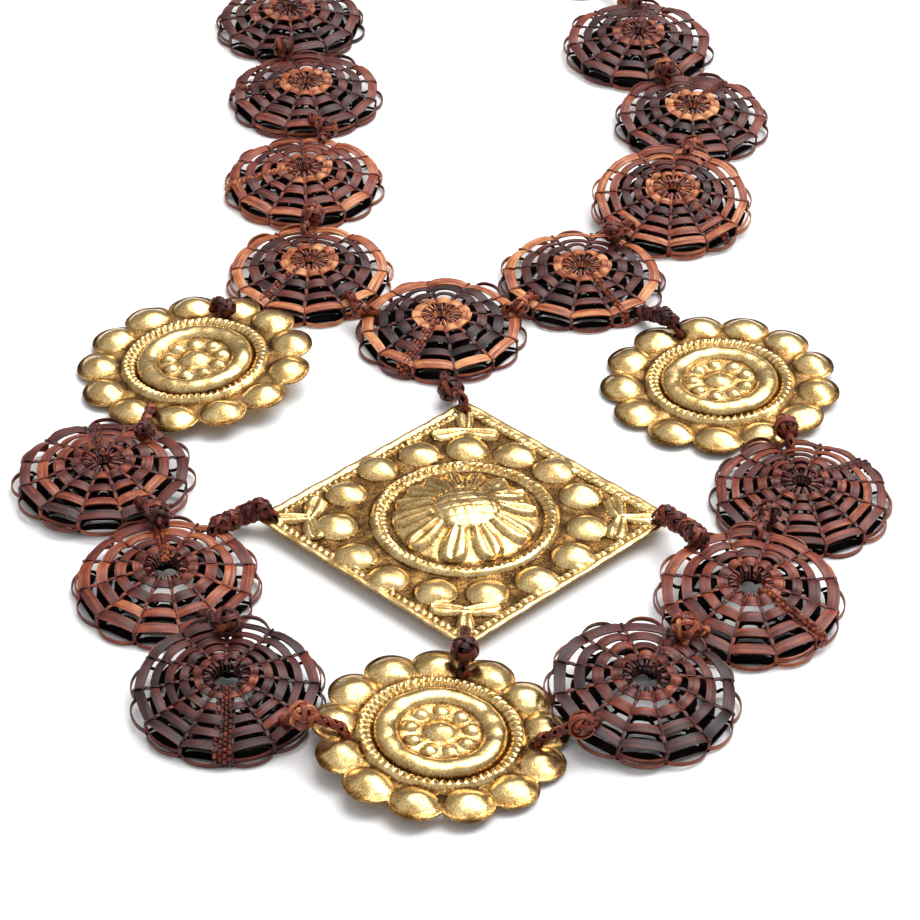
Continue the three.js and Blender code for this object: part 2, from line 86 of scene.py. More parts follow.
def node(material, kind, inputs=None, stops=None, **settings):
    made = material.node_tree.nodes.new(kind)
    for name, value in settings.items():
        setattr(made, name, value)
    for key, value in (inputs or {}).items():
        if isinstance(value, bpy.types.NodeSocket):
            material.node_tree.links.new(value, made.inputs[key])
        else:
            made.inputs[key].default_value = value
    for i, (place, colour) in enumerate(stops or []):
        ramp = made.color_ramp.elements
        stop = ramp[i] if i < 2 else ramp.new(place)
        stop.position = place
        stop.color = linear(colour)
    return made


def new_material(name):
    material = bpy.data.materials.new(name)
    material.use_nodes = True
    material.node_tree.nodes.clear()
    return material


def surfaced(material, inputs):
    """The material with its one shader set and joined to the output."""
    shader = node(material, "ShaderNodeBsdfPrincipled", inputs)
    node(material, "ShaderNodeOutputMaterial", {"Surface": shader.outputs["BSDF"]})
    return material


SURFACE_HALF = 3.0
surface_mesh = bpy.data.meshes.new("surface")
corners = ((-1, -1), (1, -1), (1, 1), (-1, 1))
surface_mesh.from_pydata([(x * SURFACE_HALF, y * SURFACE_HALF, 0) for x, y in corners], [], [(0, 1, 2, 3)])
surface = added("surface", surface_mesh)
coated_card = new_material("coated_card_matt_white")
card_fibre = node(coated_card, "ShaderNodeTexNoise", {"Scale": 900.0, "Detail": 2.0})
card_bump = node(coated_card, "ShaderNodeBump", {"Height": card_fibre.outputs["Fac"], "Strength": 0.03})
surface_mesh.materials.append(surfaced(coated_card, {
    "Base Color": linear("#fafafa"), "Roughness": 0.9, "Specular IOR Level": 0.1,
    "Normal": card_bump.outputs["Normal"]}))


# Light: a big diffusing sheet hung above the necklace, behind it and to its right, in a white room whose
# walls grow brighter towards the ceiling, and one small soft box at the right that gives the shadows.
def remap(material, value, source, target, **settings):
    """A value carried from one range to another and held at the ends."""
    made = node(material, "ShaderNodeMapRange", {
        "Value": value, "From Min": source[0], "From Max": source[1],
        "To Min": target[0], "To Max": target[1]}, **settings)
    return made.outputs["Result"]


def combined(material, operation, first, second):
    return node(material, "ShaderNodeMath", {0: first, 1: second}, operation=operation).outputs["Value"]


SKIRTING_LIGHT, CEILING_LIGHT = 0.12, 0.82
SHEET_LIGHT = 4.8
SHEET_DIRECTION = (0.28, 0.36, 0.89)
SHEET_EDGE = (0.83, 0.97)  # cosines of the angles from its middle at which the sheet's glow starts and is full
room = bpy.data.worlds.new("white_room")
room.use_nodes = True
room.node_tree.nodes.clear()
towards = node(room, "ShaderNodeTexCoord").outputs["Generated"]
facing_sheet = node(room, "ShaderNodeVectorMath", {0: towards, 1: SHEET_DIRECTION}, operation="DOT_PRODUCT")
sheet_glow = remap(room, facing_sheet.outputs["Value"], SHEET_EDGE, (0.0, SHEET_LIGHT),
                   interpolation_type="SMOOTHSTEP")
height = node(room, "ShaderNodeSeparateXYZ", {"Vector": towards})
wall_glow = remap(room, height.outputs["Z"], (0.0, 1.0), (SKIRTING_LIGHT, CEILING_LIGHT))
room_shade = node(room, "ShaderNodeBackground", {
    "Color": linear("#ffffff"), "Strength": combined(room, "ADD", sheet_glow, wall_glow)})
node(room, "ShaderNodeOutputWorld", {"Surface": room_shade.outputs["Background"]})
bpy.context.scene.world = room

SOFT_BOX_PLACE = Vector((0.7, 0.1, 0.8))
SOFT_BOX_SIZE = 0.3
SOFT_BOX_POWER = 2.0
soft_box = bpy.data.lights.new("soft_box_right", "AREA")
soft_box.shape = "SQUARE"
soft_box.size = SOFT_BOX_SIZE
soft_box.energy = SOFT_BOX_POWER
soft_box_stand = added("soft_box_right", soft_box)
soft_box_stand.location = SOFT_BOX_PLACE
soft_box_stand.rotation_euler = SOFT_BOX_PLACE.to_track_quat("Z", "Y").to_euler()
bpy.context.scene.view_settings.view_transform = "Standard"
bpy.context.scene.view_settings.look = "None"
bpy.context.scene.view_settings.exposure = 0.0


# Strips: everything woven here is flat plant-fibre strip, split and scraped to about a third of a
# millimetre. A strip is laid along its middle line with a slightly cupped section.
STRIP_THICKNESS = 0.34
STRIP_REST = 0.03  # the strips' lowest points, above the surface
GRAIN_SHIFT = 7.31  # from one strip to the next, so that no two strips have the same grain
CREASE_ANGLE = math.radians(42)
UP = np.array([0, 0, 1.0])


def unit(vectors):
    return vectors / np.maximum(np.linalg.norm(vectors, axis=-1, keepdims=True), 1e-9)


def hold(mesh, name, values):
    """Keeps a number or a vector for every point of the mesh, for its material to read."""
    kind, key = ("FLOAT", "value") if values.ndim == 1 else ("FLOAT_VECTOR", "vector")
    mesh.attributes.new(name, kind, "POINT").data.foreach_set(key, values.astype(np.float32).ravel())


class Strips:
    """Strips of one piece, collected as points, faces, their tone and their place along and across."""

    def __init__(self):
        self.points, self.faces, self.tones, self.grain = [], [], [], []
        self.count = 0
        self.laid = 0

    def lay(self, line, up, half_width, tone, across=None, thickness=STRIP_THICKNESS, cup=0.06):
        line = np.asarray(line, float)
        steps = len(line)
        up = unit(np.broadcast_to(np.asarray(up, float), line.shape))
        if across is None:
            across = np.cross(up, np.gradient(line, axis=0))
        across = unit(np.broadcast_to(np.asarray(across, float), line.shape))
        half = np.broadcast_to(np.asarray(half_width, float), (steps,))[:, None]
        rows = [(-1, 0.5, -cup), (0, 0.5, cup), (1, 0.5, -cup),
                (1, -0.5, -cup), (0, -0.5, cup), (-1, -0.5, -cup)]
        ring = [line + across * half * side + up * (thickness * level + rise * half)
                for side, level, rise in rows]
        travelled = np.concatenate([[0], np.cumsum(np.linalg.norm(np.diff(line, axis=0), axis=1))])
        self.points.append(np.stack(ring, axis=1).reshape(-1, 3))
        sides = np.array([row[0] for row in rows], float)
        grain = np.stack([np.repeat(travelled, 6), np.tile(sides, steps) * np.repeat(half[:, 0], 6),
                          np.full(steps * 6, self.laid * GRAIN_SHIFT)], axis=1)
        self.grain.append(grain)
        self.tones.append(np.full(steps * 6, tone, float))
        i = np.arange(steps - 1)[:, None] * 6
        k = np.arange(6)[None, :]
        ahead = (k + 1) % 6
        body = np.stack([i + k, i + 6 + k, i + 6 + ahead, i + ahead], axis=-1).reshape(-1, 4)
        end = (steps - 1) * 6
        caps = np.array([[0, 1, 4, 5], [1, 2, 3, 4],
                         [end + 5, end + 4, end + 1, end], [end + 4, end + 3, end + 2, end + 1]])
        self.faces.append(np.concatenate([body, caps]) + self.count)
        self.count += steps * 6
        self.laid += 1

    def blob(self, centre, radius, tone):
        """A rounded lump that fills the inside of a knot; at its one call it takes the near-black tone, as
        painted shade in the gaps between the knot's strips.
        """
        turns, rows = 12, 7
        angles = np.arange(turns) * 2 * math.pi / turns
        tilt = np.linspace(-math.pi / 2 + 0.15, math.pi / 2 - 0.15, rows)
        ring = np.stack([np.outer(np.cos(tilt), np.cos(angles)), np.outer(np.cos(tilt), np.sin(angles)),
                         np.outer(np.sin(tilt), np.ones(turns))], axis=-1).reshape(-1, 3) * radius
        self.points.append(ring + np.asarray(centre))
        i = np.arange(rows - 1)[:, None] * turns
        k = np.arange(turns)[None, :]
        ahead = (k + 1) % turns
        body = np.stack([i + k, i + ahead, i + turns + ahead, i + turns + k], axis=-1).reshape(-1, 4)
        top = (rows - 1) * turns
        lid = np.array([(j, turns - j, turns - 1 - j, j + 1) for j in range(1, turns // 2 - 1)])
        self.faces += [body + self.count, lid + self.count, lid[:, ::-1] + self.count + top]
        self.grain.append(np.tile([0.0, 0.0, self.laid * GRAIN_SHIFT], (len(ring), 1)))
        self.tones.append(np.full(len(ring), tone, float))
        self.count += len(ring)
        self.laid += 1

    def piece(self, name, place, material):
        points = np.concatenate(self.points)
        placed = (np.c_[points, np.ones(len(points))] @ place.T)[:, :3]
        placed[:, 2] = np.maximum(placed[:, 2], STRIP_REST)
        mesh = mesh_of(name, (placed + layout_origin) * MM, np.concatenate(self.faces))
        hold(mesh, "tone", np.concatenate(self.tones))
        hold(mesh, "grain", np.concatenate(self.grain))
        mesh.materials.append(material)
        return added(name, mesh)


def mesh_of(name, points, quads):
    mesh = bpy.data.meshes.new(name)
    mesh.vertices.add(len(points))
    mesh.vertices.foreach_set("co", np.ascontiguousarray(points, np.float32).ravel())
    mesh.loops.add(quads.size)
    mesh.loops.foreach_set("vertex_index", np.ascontiguousarray(quads, np.int32).ravel())
    mesh.polygons.add(len(quads))
    mesh.polygons.foreach_set("loop_start", np.arange(0, quads.size, 4, dtype=np.int32))
    mesh.update(calc_edges=True)
    mesh.polygons.foreach_set("use_smooth", np.ones(len(quads), bool))
    mesh.set_sharp_from_angle(angle=CREASE_ANGLE)
    return mesh


# Dyed plant-fibre strip, split and scraped: satin, with fine lengthwise fibres and a tone that runs from
# dark plum through reddish brown to undyed tan.
def noise(material, vector, scale, detail, roughness=0.5):
    """Noise with so many features in a millimetre, or in a millimetre along each axis."""
    if isinstance(scale, tuple):
        vector = node(material, "ShaderNodeMapping", {"Vector": vector, "Scale": scale}).outputs["Vector"]
        scale = 1.0
    made = node(material, "ShaderNodeTexNoise", {
        "Vector": vector, "Scale": scale, "Detail": detail, "Roughness": roughness})
    return made.outputs["Fac"]


def attribute(material, name, output="Fac"):
    return node(material, "ShaderNodeAttribute", attribute_name=name).outputs[output]


def shaded(material, start, *layers):
    """A value with layers of noise added, each carried from its own range to the shift that it gives."""
    for layer, source, target in layers:
        start = combined(material, "ADD", start, remap(material, layer, source, target))
    return start


def bumped(material, *marks):
    """A surface with layers of unevenness, each with its height, strength and depth in metres."""
    under = {}
    for height, strength, depth in marks:
        made = node(material, "ShaderNodeBump", {
            "Height": height, "Strength": strength, "Distance": depth, **under})
        under = {"Normal": made.outputs["Normal"]}
    return under["Normal"]


def split_fibre(name, gloss):
    material = new_material(name)
    tone, grain = attribute(material, "tone"), attribute(material, "grain", "Vector")
    # Fibres are about 0.12 mm wide and run for 6 mm or so. Each strip is a few narrower plies side by side,
    # so darker lines run along it, and the dye took unevenly over patches of 2 to 3 mm.
    fibres = noise(material, grain, (0.16, 4.2, 1.0), 3.0, 0.6)
    plies = noise(material, grain, (0.05, 1.5, 1.0), 1.0)
    patches = noise(material, grain, (0.35, 0.5, 1.0), 2.0)
    shade = shaded(material, tone, (fibres, (0.3, 0.7), (-0.13, 0.1)), (plies, (0.35, 0.6), (-0.18, 0.04)),
                   (patches, (0.3, 0.7), (-0.09, 0.09)))
    # The ramp's near-black end, below 0.2, is mostly painted shade: the strips inside the weave, the braid cores
    # and the knot balls take it to stand for the shade there.
    colour = node(material, "ShaderNodeValToRGB", {"Fac": shade}, stops=[
        (0.0, "#080303"), (1.0, "#dd9d68"), (0.2, "#351416"), (0.42, "#5b241c"), (0.6, "#833821"),
        (0.8, "#b0643c")])
    # Strips inside the weave are raw, while the ones outside are polished by wear.
    worn = remap(material, tone, (0.0, 0.2), (0.02, 0.36))
    return surfaced(material, {
        "Base Color": colour.outputs["Color"], "Roughness": gloss, "IOR": 1.5,
        "Specular IOR Level": worn, "Normal": bumped(material, (fibres, 0.8, 0.0001))})


woven_strip = split_fibre("dyed_palm_strip_split_and_woven", 0.42)


# Rosettes: each is one weave of strip over twelve spokes, a shallow dome above a flat layer, joined by a
# wall of bowed loops round the rim. A dense ladder of small weaves runs from the hub to the rim where
# the weaver closed the round.
SPOKES = 12
SPOKE_ANGLE = 2 * math.pi / SPOKES
ROSETTE_RADIUS = 22.0
PAINTED_SHADE_TONE, SHAFT_PAINTED_SHADE_TONE = -0.06, 0.03  # near-black painted shade: for the strips inside the weave, the braids' cores and the knots' balls, and for those round the hub's shaft
RING_START = 5.1
RING_END = 20.7
HUB_RADIUS = 1.8
WIDE_HUB_RADIUS = 2.9
# Widths of the inner rings and of the outermost one, by the number of rings.
RING_WIDTHS = {4: (2.6, 2.85), 5: (2.1, 2.4)}
# Radius and height along the dome, along the flat layer, and along the ladder that crosses the dome.
CROWN_PROFILE = ((0, 7.3), (4.6, 7.25), (6.5, 6.9), (9.5, 6.45), (12, 5.9), (14.9, 5.0), (18, 4.45),
                 (20.6, 3.95))
FLOOR_PROFILE = ((0, 1.1), (5, 1.0), (13, 0.75), (20.3, 0.35))
LADDER_PROFILE = ((2.4, 6.5), (4.6, 7.4), (9, 6.75), (13.5, 5.65), (16.8, 4.9), (18.8, 4.6), (20.8, 4.1),
                  (21.6, 2.2), (21.3, 0.3))
LADDER_PITCH, LADDER_COLUMN = 1.35, 1.05
# The loops on edge round the rim: how far they bow out, radius, height, half width and how many spokes
# have one.
RIM_LOOPS = ((2.0, 20.4, 0.66, 0.56, 1.0), (1.2, 20.3, 1.75, 0.5, 0.3))
RIM_POST_RADIUS = 20.3
OUTER_FLOOR = 18  # past this radius the flat layer is open in places, mostly at the side towards the neck


def height_of(profile, radius):
    table = np.array(profile)
    return np.interp(radius, table[:, 0], table[:, 1])


def polar(radius, angle, height):
    return np.stack(np.broadcast_arrays(radius * np.cos(angle), radius * np.sin(angle), height), axis=-1)


def beside(angle, rise=0.0):
    """The direction round the hub, anticlockwise."""
    return np.array([-math.sin(angle), math.cos(angle), rise])


def ring_spans(rings):
    width, outer_width = RING_WIDTHS[rings]
    starts = np.linspace(RING_START, RING_END - outer_width, rings)
    return [*[(start, start + width) for start in starts[:-1]], (starts[-1], RING_END)]


def band(strips, inner, outer, spoke, tone, profile, rng):
    """One strip between two spokes, bowed away from the hollow and drawn in at both ends."""
    share = np.linspace(-1, 1, 7)
    middle = (inner + outer) / 2
    slack = 0.1 / middle
    angle = spoke + SPOKE_ANGLE / 2 + share * (SPOKE_ANGLE / 2 - slack)
    chord = middle * math.cos(SPOKE_ANGLE / 2) / np.cos(angle - spoke - SPOKE_ANGLE / 2)
    bow = (1 - share ** 2) * rng.uniform(0.35, 1.0)
    radius = chord + 0.55 * bow
    pinch = 0.4 * np.abs(share) ** 5
    rise = bow * 0.7 - pinch + rng.uniform(-0.06, 0.06)
    heights = [height_of(profile, edge) for edge in (inner, outer)]
    line = polar(radius, angle, (heights[0] + heights[1]) / 2 + rise)
    slope = np.array([outer - inner, heights[1] - heights[0]])
    half = np.hypot(*slope) / 2
    slope = unit(slope)
    across = polar(slope[0], angle, slope[1])
    up = polar(-slope[1], angle, slope[0])
    lean = rng.uniform(-0.28, 0.16)
    width = half * rng.uniform(0.86, 1.04) * (1 - 0.06 * share ** 4)
    strips.lay(line, up + lean * across, width, tone, across=across - lean * up)


def spoke_strip(strips, angle, spans, start, profile, side, tone, rng):
    """A radial strip that shows in the gaps between the rings and passes under each of them."""
    stations = [start]
    for inner, outer in spans:
        stations += [inner - 0.35, inner + 0.4, outer - 0.4, outer + 0.35]
    stations = np.clip(np.array(stations), start, RING_END + 0.1)
    under = np.array([0.0] + [0, 1, 1, 0] * len(spans))
    wander = 0.5 * rng.uniform(-0.25, 0.25, len(stations))
    line = polar(stations, angle, height_of(profile, stations) - side * (0.1 + 0.42 * under))
    strips.lay(line + beside(angle) * wander[:, None], [0, 0, side], 0.42 - 0.06 * under, tone, cup=0.12)


def spoke_wrap(strips, angle, inner, outer, tone, rng):
    """The narrow turn that binds one ring to one spoke."""
    share = np.linspace(0, 1, 5)
    radius = inner - 0.3 + (outer - inner + 0.6) * share
    height = height_of(CROWN_PROFILE, radius) + np.array([-0.55, -0.02, 0.06, -0.02, -0.55])
    line = polar(radius, angle + rng.uniform(-0.01, 0.01), height)
    strips.lay(line, UP, rng.uniform(0.14, 0.24), tone, cup=0.2)


def hub_slats(strips, tone, hub_radius, rng):
    """Pinched strips that stand on edge round the hub and lean down into it, with a shaft below whose near-black
    tone is painted shade in the hub's well.
    """
    for i in range(SPOKES * 2):
        angle = i * SPOKE_ANGLE / 2 + rng.uniform(-0.05, 0.05)
        radius = np.linspace(hub_radius, RING_START + 0.4, 5)
        height = np.array([5.3, 6.2, 6.75, 6.95, 6.6]) + rng.uniform(-0.15, 0.15)
        line = polar(radius, angle + np.linspace(-0.08, 0.08, 5) * rng.uniform(-1, 1), height)
        aside = beside(angle, rng.uniform(-0.3, 0.3))
        shade = tone + rng.uniform(-0.18, 0.08)
        strips.lay(line, aside, np.array([0.35, 0.6, 0.62, 0.5, 0.35]), shade, cup=0, thickness=0.3)
    # The shaft's strips are near black: painted shade down the hub's well.
    for i in range(SPOKES if hub_radius == HUB_RADIUS else 0):
        angle = (i + 0.5) * SPOKE_ANGLE
        shaft = polar(np.array([3.1, 2.5, 2.2, 3.0]), angle, np.array([5.6, 4.8, 2.2, 1.0]))
        strips.lay(shaft, polar(1, angle, 0), 0.62, SHAFT_PAINTED_SHADE_TONE)


def rim(strips, tones, spin, rng):
    """Bowed loops on edge round the rim, slack and lifted at the side towards the wearer's neck, and the
    posts that hold them at the spokes."""
    for i in range(SPOKES):
        start = i * SPOKE_ANGLE
        share = np.linspace(-1, 1, 13)
        for bulge, base, level, half, chance in RIM_LOOPS:
            if rng.random() > chance:
                continue
            lifted = max(0, math.sin(start + SPOKE_ANGLE / 2 + spin) - 0.1) * rng.uniform(0.2, 1.0)
            angle = start + SPOKE_ANGLE / 2 + share * (SPOKE_ANGLE / 2 - 0.008)
            out = base + (bulge + 0.5 * lifted) * rng.uniform(0.7, 1.0) * (1 - np.abs(share) ** 2.2) ** 0.8
            tilt = rng.uniform(-0.25, 0.25)
            rise = (0.25 * rng.random() + 3.4 * lifted) * (1 - np.abs(share) ** 3) + 0.9 * lifted
            line = polar(out, angle, level + rng.uniform(0, 0.12) + rise)
            strips.lay(line, polar(1, angle, tilt), half * rng.uniform(0.85, 1.0),
                       tones["rim"] + rng.uniform(-0.1, 0.1), across=UP, cup=0.03)
        turn = np.linspace(0, 1, 6)
        radius = RIM_POST_RADIUS + np.array([0, 0.3, 0.4, 0.35, 0.3, 0.1])
        line = polar(radius, start, 4.0 - 3.6 * turn)
        twist = rng.uniform(0.3, 1.4) * turn[:, None]
        facing = polar(1, start, 0) * np.cos(twist) + beside(start) * np.sin(twist)
        strips.lay(line, facing, rng.uniform(0.34, 0.5), tones["spoke"] + rng.uniform(-0.1, 0.1), cup=0.15)


def seam(strips, angle, columns, tone, rng):
    """The ladder of small crossed weaves where the round was closed, from the hub down to the rim."""
    line = np.array(LADDER_PROFILE)
    travelled = np.concatenate([[0], np.cumsum(np.hypot(*np.diff(line, axis=0).T))])
    aside = beside(angle)
    count = int(travelled[-1] / LADDER_PITCH)

    def at_distance(along):
        return np.stack([np.interp(along, travelled, line[:, k]) for k in (0, 1)], axis=-1)

    for column in range(columns):
        offset = (column - (columns - 1) / 2) * LADDER_COLUMN
        for i in range(count):
            at = (i + 0.5 + 0.5 * (column % 2)) * LADDER_PITCH
            if at > travelled[-1]:
                continue
            spread = 0.55 + 0.45 * min(i * LADDER_PITCH / 8, 1)
            run = unit(at_distance(at + 0.3) - at_distance(at - 0.3))
            radius, height = at_distance(at)
            up = polar(-run[1], angle, run[0])
            share = np.linspace(-1, 1, 5)[:, None]
            block = polar(radius, angle, height) + aside * (offset * spread + share * 0.5)
            block = block + up * (0.3 - 0.5 * share ** 2)
            block = block + polar(run[0], angle, run[1]) * share * rng.uniform(-0.2, 0.2)
            strips.lay(block, up, 0.56 * rng.uniform(0.85, 1.05), tone + rng.uniform(-0.14, 0.12), cup=0.12)
        bed = np.linspace(0.4, travelled[-1] - 0.3, 16)
        under = at_distance(bed)
        route = polar(under[:, 0] - 0.1, angle, under[:, 1] - 0.35)
        route = route + aside * (offset + 0.6) * np.interp(bed, [0, 8], [0.55, 1])[:, None]
        strips.lay(route, UP, 0.4, tone - 0.2, across=aside, cup=0)


def rosette_strips(look):
    rng = np.random.default_rng(look["seed"])
    strips = Strips()
    tones = look["tones"]
    spans = ring_spans(len(tones["rings"]))
    wide_open = look["hub_radius"] > HUB_RADIUS
    floor_start = spans[0][1] - 1.3 if wide_open else HUB_RADIUS + 0.6
    hub_slats(strips, tones["hub"], look["hub_radius"], rng)
    for i in range(SPOKES):
        spoke = i * SPOKE_ANGLE
        tone = tones["spoke"] + rng.uniform(-0.1, 0.1)
        spoke_strip(strips, spoke, spans, look["hub_radius"] + 0.6, CROWN_PROFILE, 1, tone, rng)
        # The flat layer's spokes and bands take the near-black painted-shade tone, which stands for the shade
        # inside the weave.
        spoke_strip(strips, spoke, spans, floor_start, FLOOR_PROFILE, -1, PAINTED_SHADE_TONE, rng)
        for (inner, outer), ring_tone in zip(spans, tones["rings"]):
            shade = ring_tone + rng.uniform(-0.13, 0.1)
            band(strips, inner, outer, spoke, shade, CROWN_PROFILE, rng)
            spoke_wrap(strips, spoke, inner, outer, ring_tone - 0.2, rng)
            away = math.sin(spoke + SPOKE_ANGLE / 2 + look["spin"])
            inside = outer < OUTER_FLOOR
            # A band of the flat layer, in the near-black painted-shade tone.
            if outer > floor_start + 1 and (inside or rng.random() > away + 0.6):
                band(strips, max(inner - 0.2, floor_start), outer + (0.35 if inside else -0.4), spoke,
                     PAINTED_SHADE_TONE, FLOOR_PROFILE, rng)
    rim(strips, tones, look["spin"], rng)
    seam(strips, math.radians(look["seam"]), look["columns"], tones["seam"], rng)
    return strips


def place_matrix(x, y, spin, far, right, reach, lift=0.0):
    """Where a piece lies: tipped by its neighbours, turned, and standing on the surface."""
    tip = Matrix.Rotation(math.radians(far), 4, "X") @ Matrix.Rotation(-math.radians(right), 4, "Y")
    normal = tip.col[2]
    rise = reach * math.sqrt(max(0, 1 - normal[2] ** 2)) + lift
    return np.array(Matrix.Translation((x, y, rise)) @ tip @ Matrix.Rotation(math.radians(spin), 4, "Z"))


# Each rosette's name, place, spin, tips at the far and right side, tones of the rings from the hub out, of
# the hub, spokes, rim and ladder, and the ladder's direction and number of columns.
PLUM, DARK, BROWN, RED, RUST, LIGHT, TAN, GOLD = 0.3, 0.4, 0.52, 0.63, 0.68, 0.74, 0.86, 0.97
ROSETTES = [
    ("left_0", -30, 260, 12, 0, 0, (RED, BROWN, BROWN, DARK), RED, DARK, BROWN, BROWN, 200, 2),
    ("left_1", -50.5, 217.9, 34, 0, 0, (RED, BROWN, DARK, DARK), BROWN, DARK, DARK, BROWN, 100, 2),
    ("left_2", -44.1, 174.5, 16, 0, 0, (TAN, DARK, DARK, BROWN), TAN, DARK, BROWN, BROWN, 180, 2),
    ("left_3", -42.8, 126.7, 4, 0, 0, (LIGHT, RED, BROWN, LIGHT), RED, BROWN, RED, TAN, 190, 2),
    ("left_4", -39.6, 79.8, 28, 0, 0, (TAN, DARK, DARK, TAN), TAN, DARK, LIGHT, RED, 230, 2),
    ("centre", -4.8, 53.9, 10, 0, 0, (GOLD, PLUM, PLUM, TAN), GOLD, DARK, BROWN, RED, 242, 3),
    ("right_4", 32, 77.4, 21, 0, 0, (TAN, DARK, DARK, TAN), TAN, DARK, BROWN, RED, 300, 2),
    ("right_3", 57.4, 112.2, 25, 8, 0, (TAN, DARK, DARK, LIGHT, LIGHT), TAN, BROWN, LIGHT, RED, 310, 2),
    ("right_2", 65.6, 160, 28, 1.5, 0, (GOLD, DARK, DARK, BROWN), TAN, DARK, BROWN, BROWN, 60, 2),
    ("right_1", 52.2, 202, 6, 3, 0, (RED, DARK, DARK, BROWN), RED, DARK, BROWN, BROWN, 80, 2),
    ("right_0", 36, 258.5, 18, 0, 0, (RED, BROWN, DARK, BROWN), RED, DARK, BROWN, BROWN, 20, 2),
    ("lower_left_1", -86.1, -11.3, 18, -2, 0, (BROWN, BROWN, RUST, DARK), BROWN, BROWN, BROWN, BROWN, 100, 2),
    ("lower_left_2", -68, -52.2, 13, 1.5, 0, (BROWN, BROWN, RUST + 0.03, RED), DARK, BROWN, BROWN, RED, 98, 3),
    ("lower_left_3", -51.7, -92.9, 3, 4.6, 0, (BROWN, DARK, DARK, DARK, PLUM), PLUM, DARK, DARK, DARK, 270, 4),
    ("lower_right_1", 81.8, -18.9, 12, 0.5, 0, (BROWN, BROWN, BROWN, RED, BROWN), DARK, DARK, BROWN, DARK, 35, 2),
    ("lower_right_2", 66.6, -59.7, 13, 6, 0, (RED, BROWN, BROWN, RED), BROWN, BROWN, RED, RED, 318, 2),
    ("lower_right_3", 40.4, -94, 12, 3.8, -5.6, (BROWN, BROWN, DARK, PLUM), PLUM, DARK, BROWN, DARK, 60, 2),
]

WIDE_HUBS = ("lower_left_2", "lower_left_3", "lower_right_2", "lower_right_3")
rosette_frames = {}
for seed, (name, x, y, spin, far, right, *tones, ladder_at, columns) in enumerate(ROSETTES):
    rosette_frames[name] = place_matrix(x, y, spin, far, right, ROSETTE_RADIUS)
    look = {"seed": seed, "columns": columns, "seam": ladder_at - spin, "spin": math.radians(spin),
            "hub_radius": WIDE_HUB_RADIUS if name in WIDE_HUBS else HUB_RADIUS,
            "tones": dict(zip(("rings", "hub", "spoke", "rim", "seam"), tones))}
    rosette = rosette_strips(look).piece(f"woven_rosette_{name}", rosette_frames[name], woven_strip)
    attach(rosette, "root")
    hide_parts(f"rosette_{name}")


# Ties: four strands of the same strip braided round into a short strap, which goes down through an open
# ring at either end, with a crown knot pulled tight between its two neighbours.
TIE_RADIUS = 1.25
KNOT_RADIUS = 3.2
LEG_RADIUS = 17.0
# Radius and height in its rosette of a braid's end: up through the weave and over the outermost band, or
# low over the rim.
OVER_THE_BAND = ((LEG_RADIUS + 0.3, 1.9), (LEG_RADIUS, 3.6), (LEG_RADIUS + 0.5, 5.2), (19.0, 6.0))
OVER_THE_RIM = ((18.8, 1.4), (20.2, 1.7), (21.8, 2.6))
LEG_ROOM = 2.3  # from a spoke to the middle of a braid that goes down beside it
STRAND_HALF = 0.6
LOOSE_ENDS = 9
ROUTE_STEP = 0.45
knotted_strip = split_fibre("dyed_palm_strip_braided_and_knotted", 0.45)


def smooth_route(points):
    """A Catmull-Rom curve through the points, sampled evenly."""
    points = np.asarray(points, float)
    padded = np.vstack([2 * points[0] - points[1], points, 2 * points[-1] - points[-2]])
    pieces = []
    for i in range(1, len(padded) - 2):
        a, b, c, d = padded[i - 1:i + 3]
        t = np.linspace(0, 1, 12, endpoint=False)[:, None]
        pieces.append(0.5 * (2 * b + (c - a) * t + (2 * a - 5 * b + 4 * c - d) * t ** 2
                             + (3 * b - 3 * c + d - a) * t ** 3))
    dense = np.vstack(pieces + [padded[-2][None]])
    travelled = np.concatenate([[0], np.cumsum(np.linalg.norm(np.diff(dense, axis=0), axis=1))])
    even = np.linspace(0, travelled[-1], max(8, int(travelled[-1] / ROUTE_STEP)))
    return np.stack([np.interp(even, travelled, dense[:, k]) for k in range(3)], axis=1), even


def braid(strips, points, tone, rng):
    """Four flat strands wound both ways round a route, over and under each other."""
    route, travelled = smooth_route(points)
    ahead = unit(np.gradient(route, axis=0))
    aside = [unit(np.cross(ahead[0], [0.3, 0.2, 1.0]))]
    for way in ahead[1:]:
        aside.append(unit(aside[-1] - way * np.dot(aside[-1], way)))
    aside = np.array(aside)
    above = np.cross(ahead, aside)
    turn_rate = 2 * math.pi / (TIE_RADIUS * 5.2)
    for direction, start in ((1, 0), (1, math.pi), (-1, math.pi / 2), (-1, 3 * math.pi / 2)):
        angle = direction * turn_rate * travelled + start
        weave = direction * 0.2 * np.sin(2 * turn_rate * travelled)
        out = aside * np.cos(angle)[:, None] + above * np.sin(angle)[:, None]
        strips.lay(route + out * (TIE_RADIUS - 0.3 + weave)[:, None], out, STRAND_HALF,
                   tone + rng.uniform(-0.22, 0.16), cup=0.08)
    # A near-black core under the strands: painted shade that shows through the gaps between them.
    strips.lay(route, above, TIE_RADIUS * 0.5, PAINTED_SHADE_TONE, thickness=TIE_RADIUS * 0.7, cup=0)


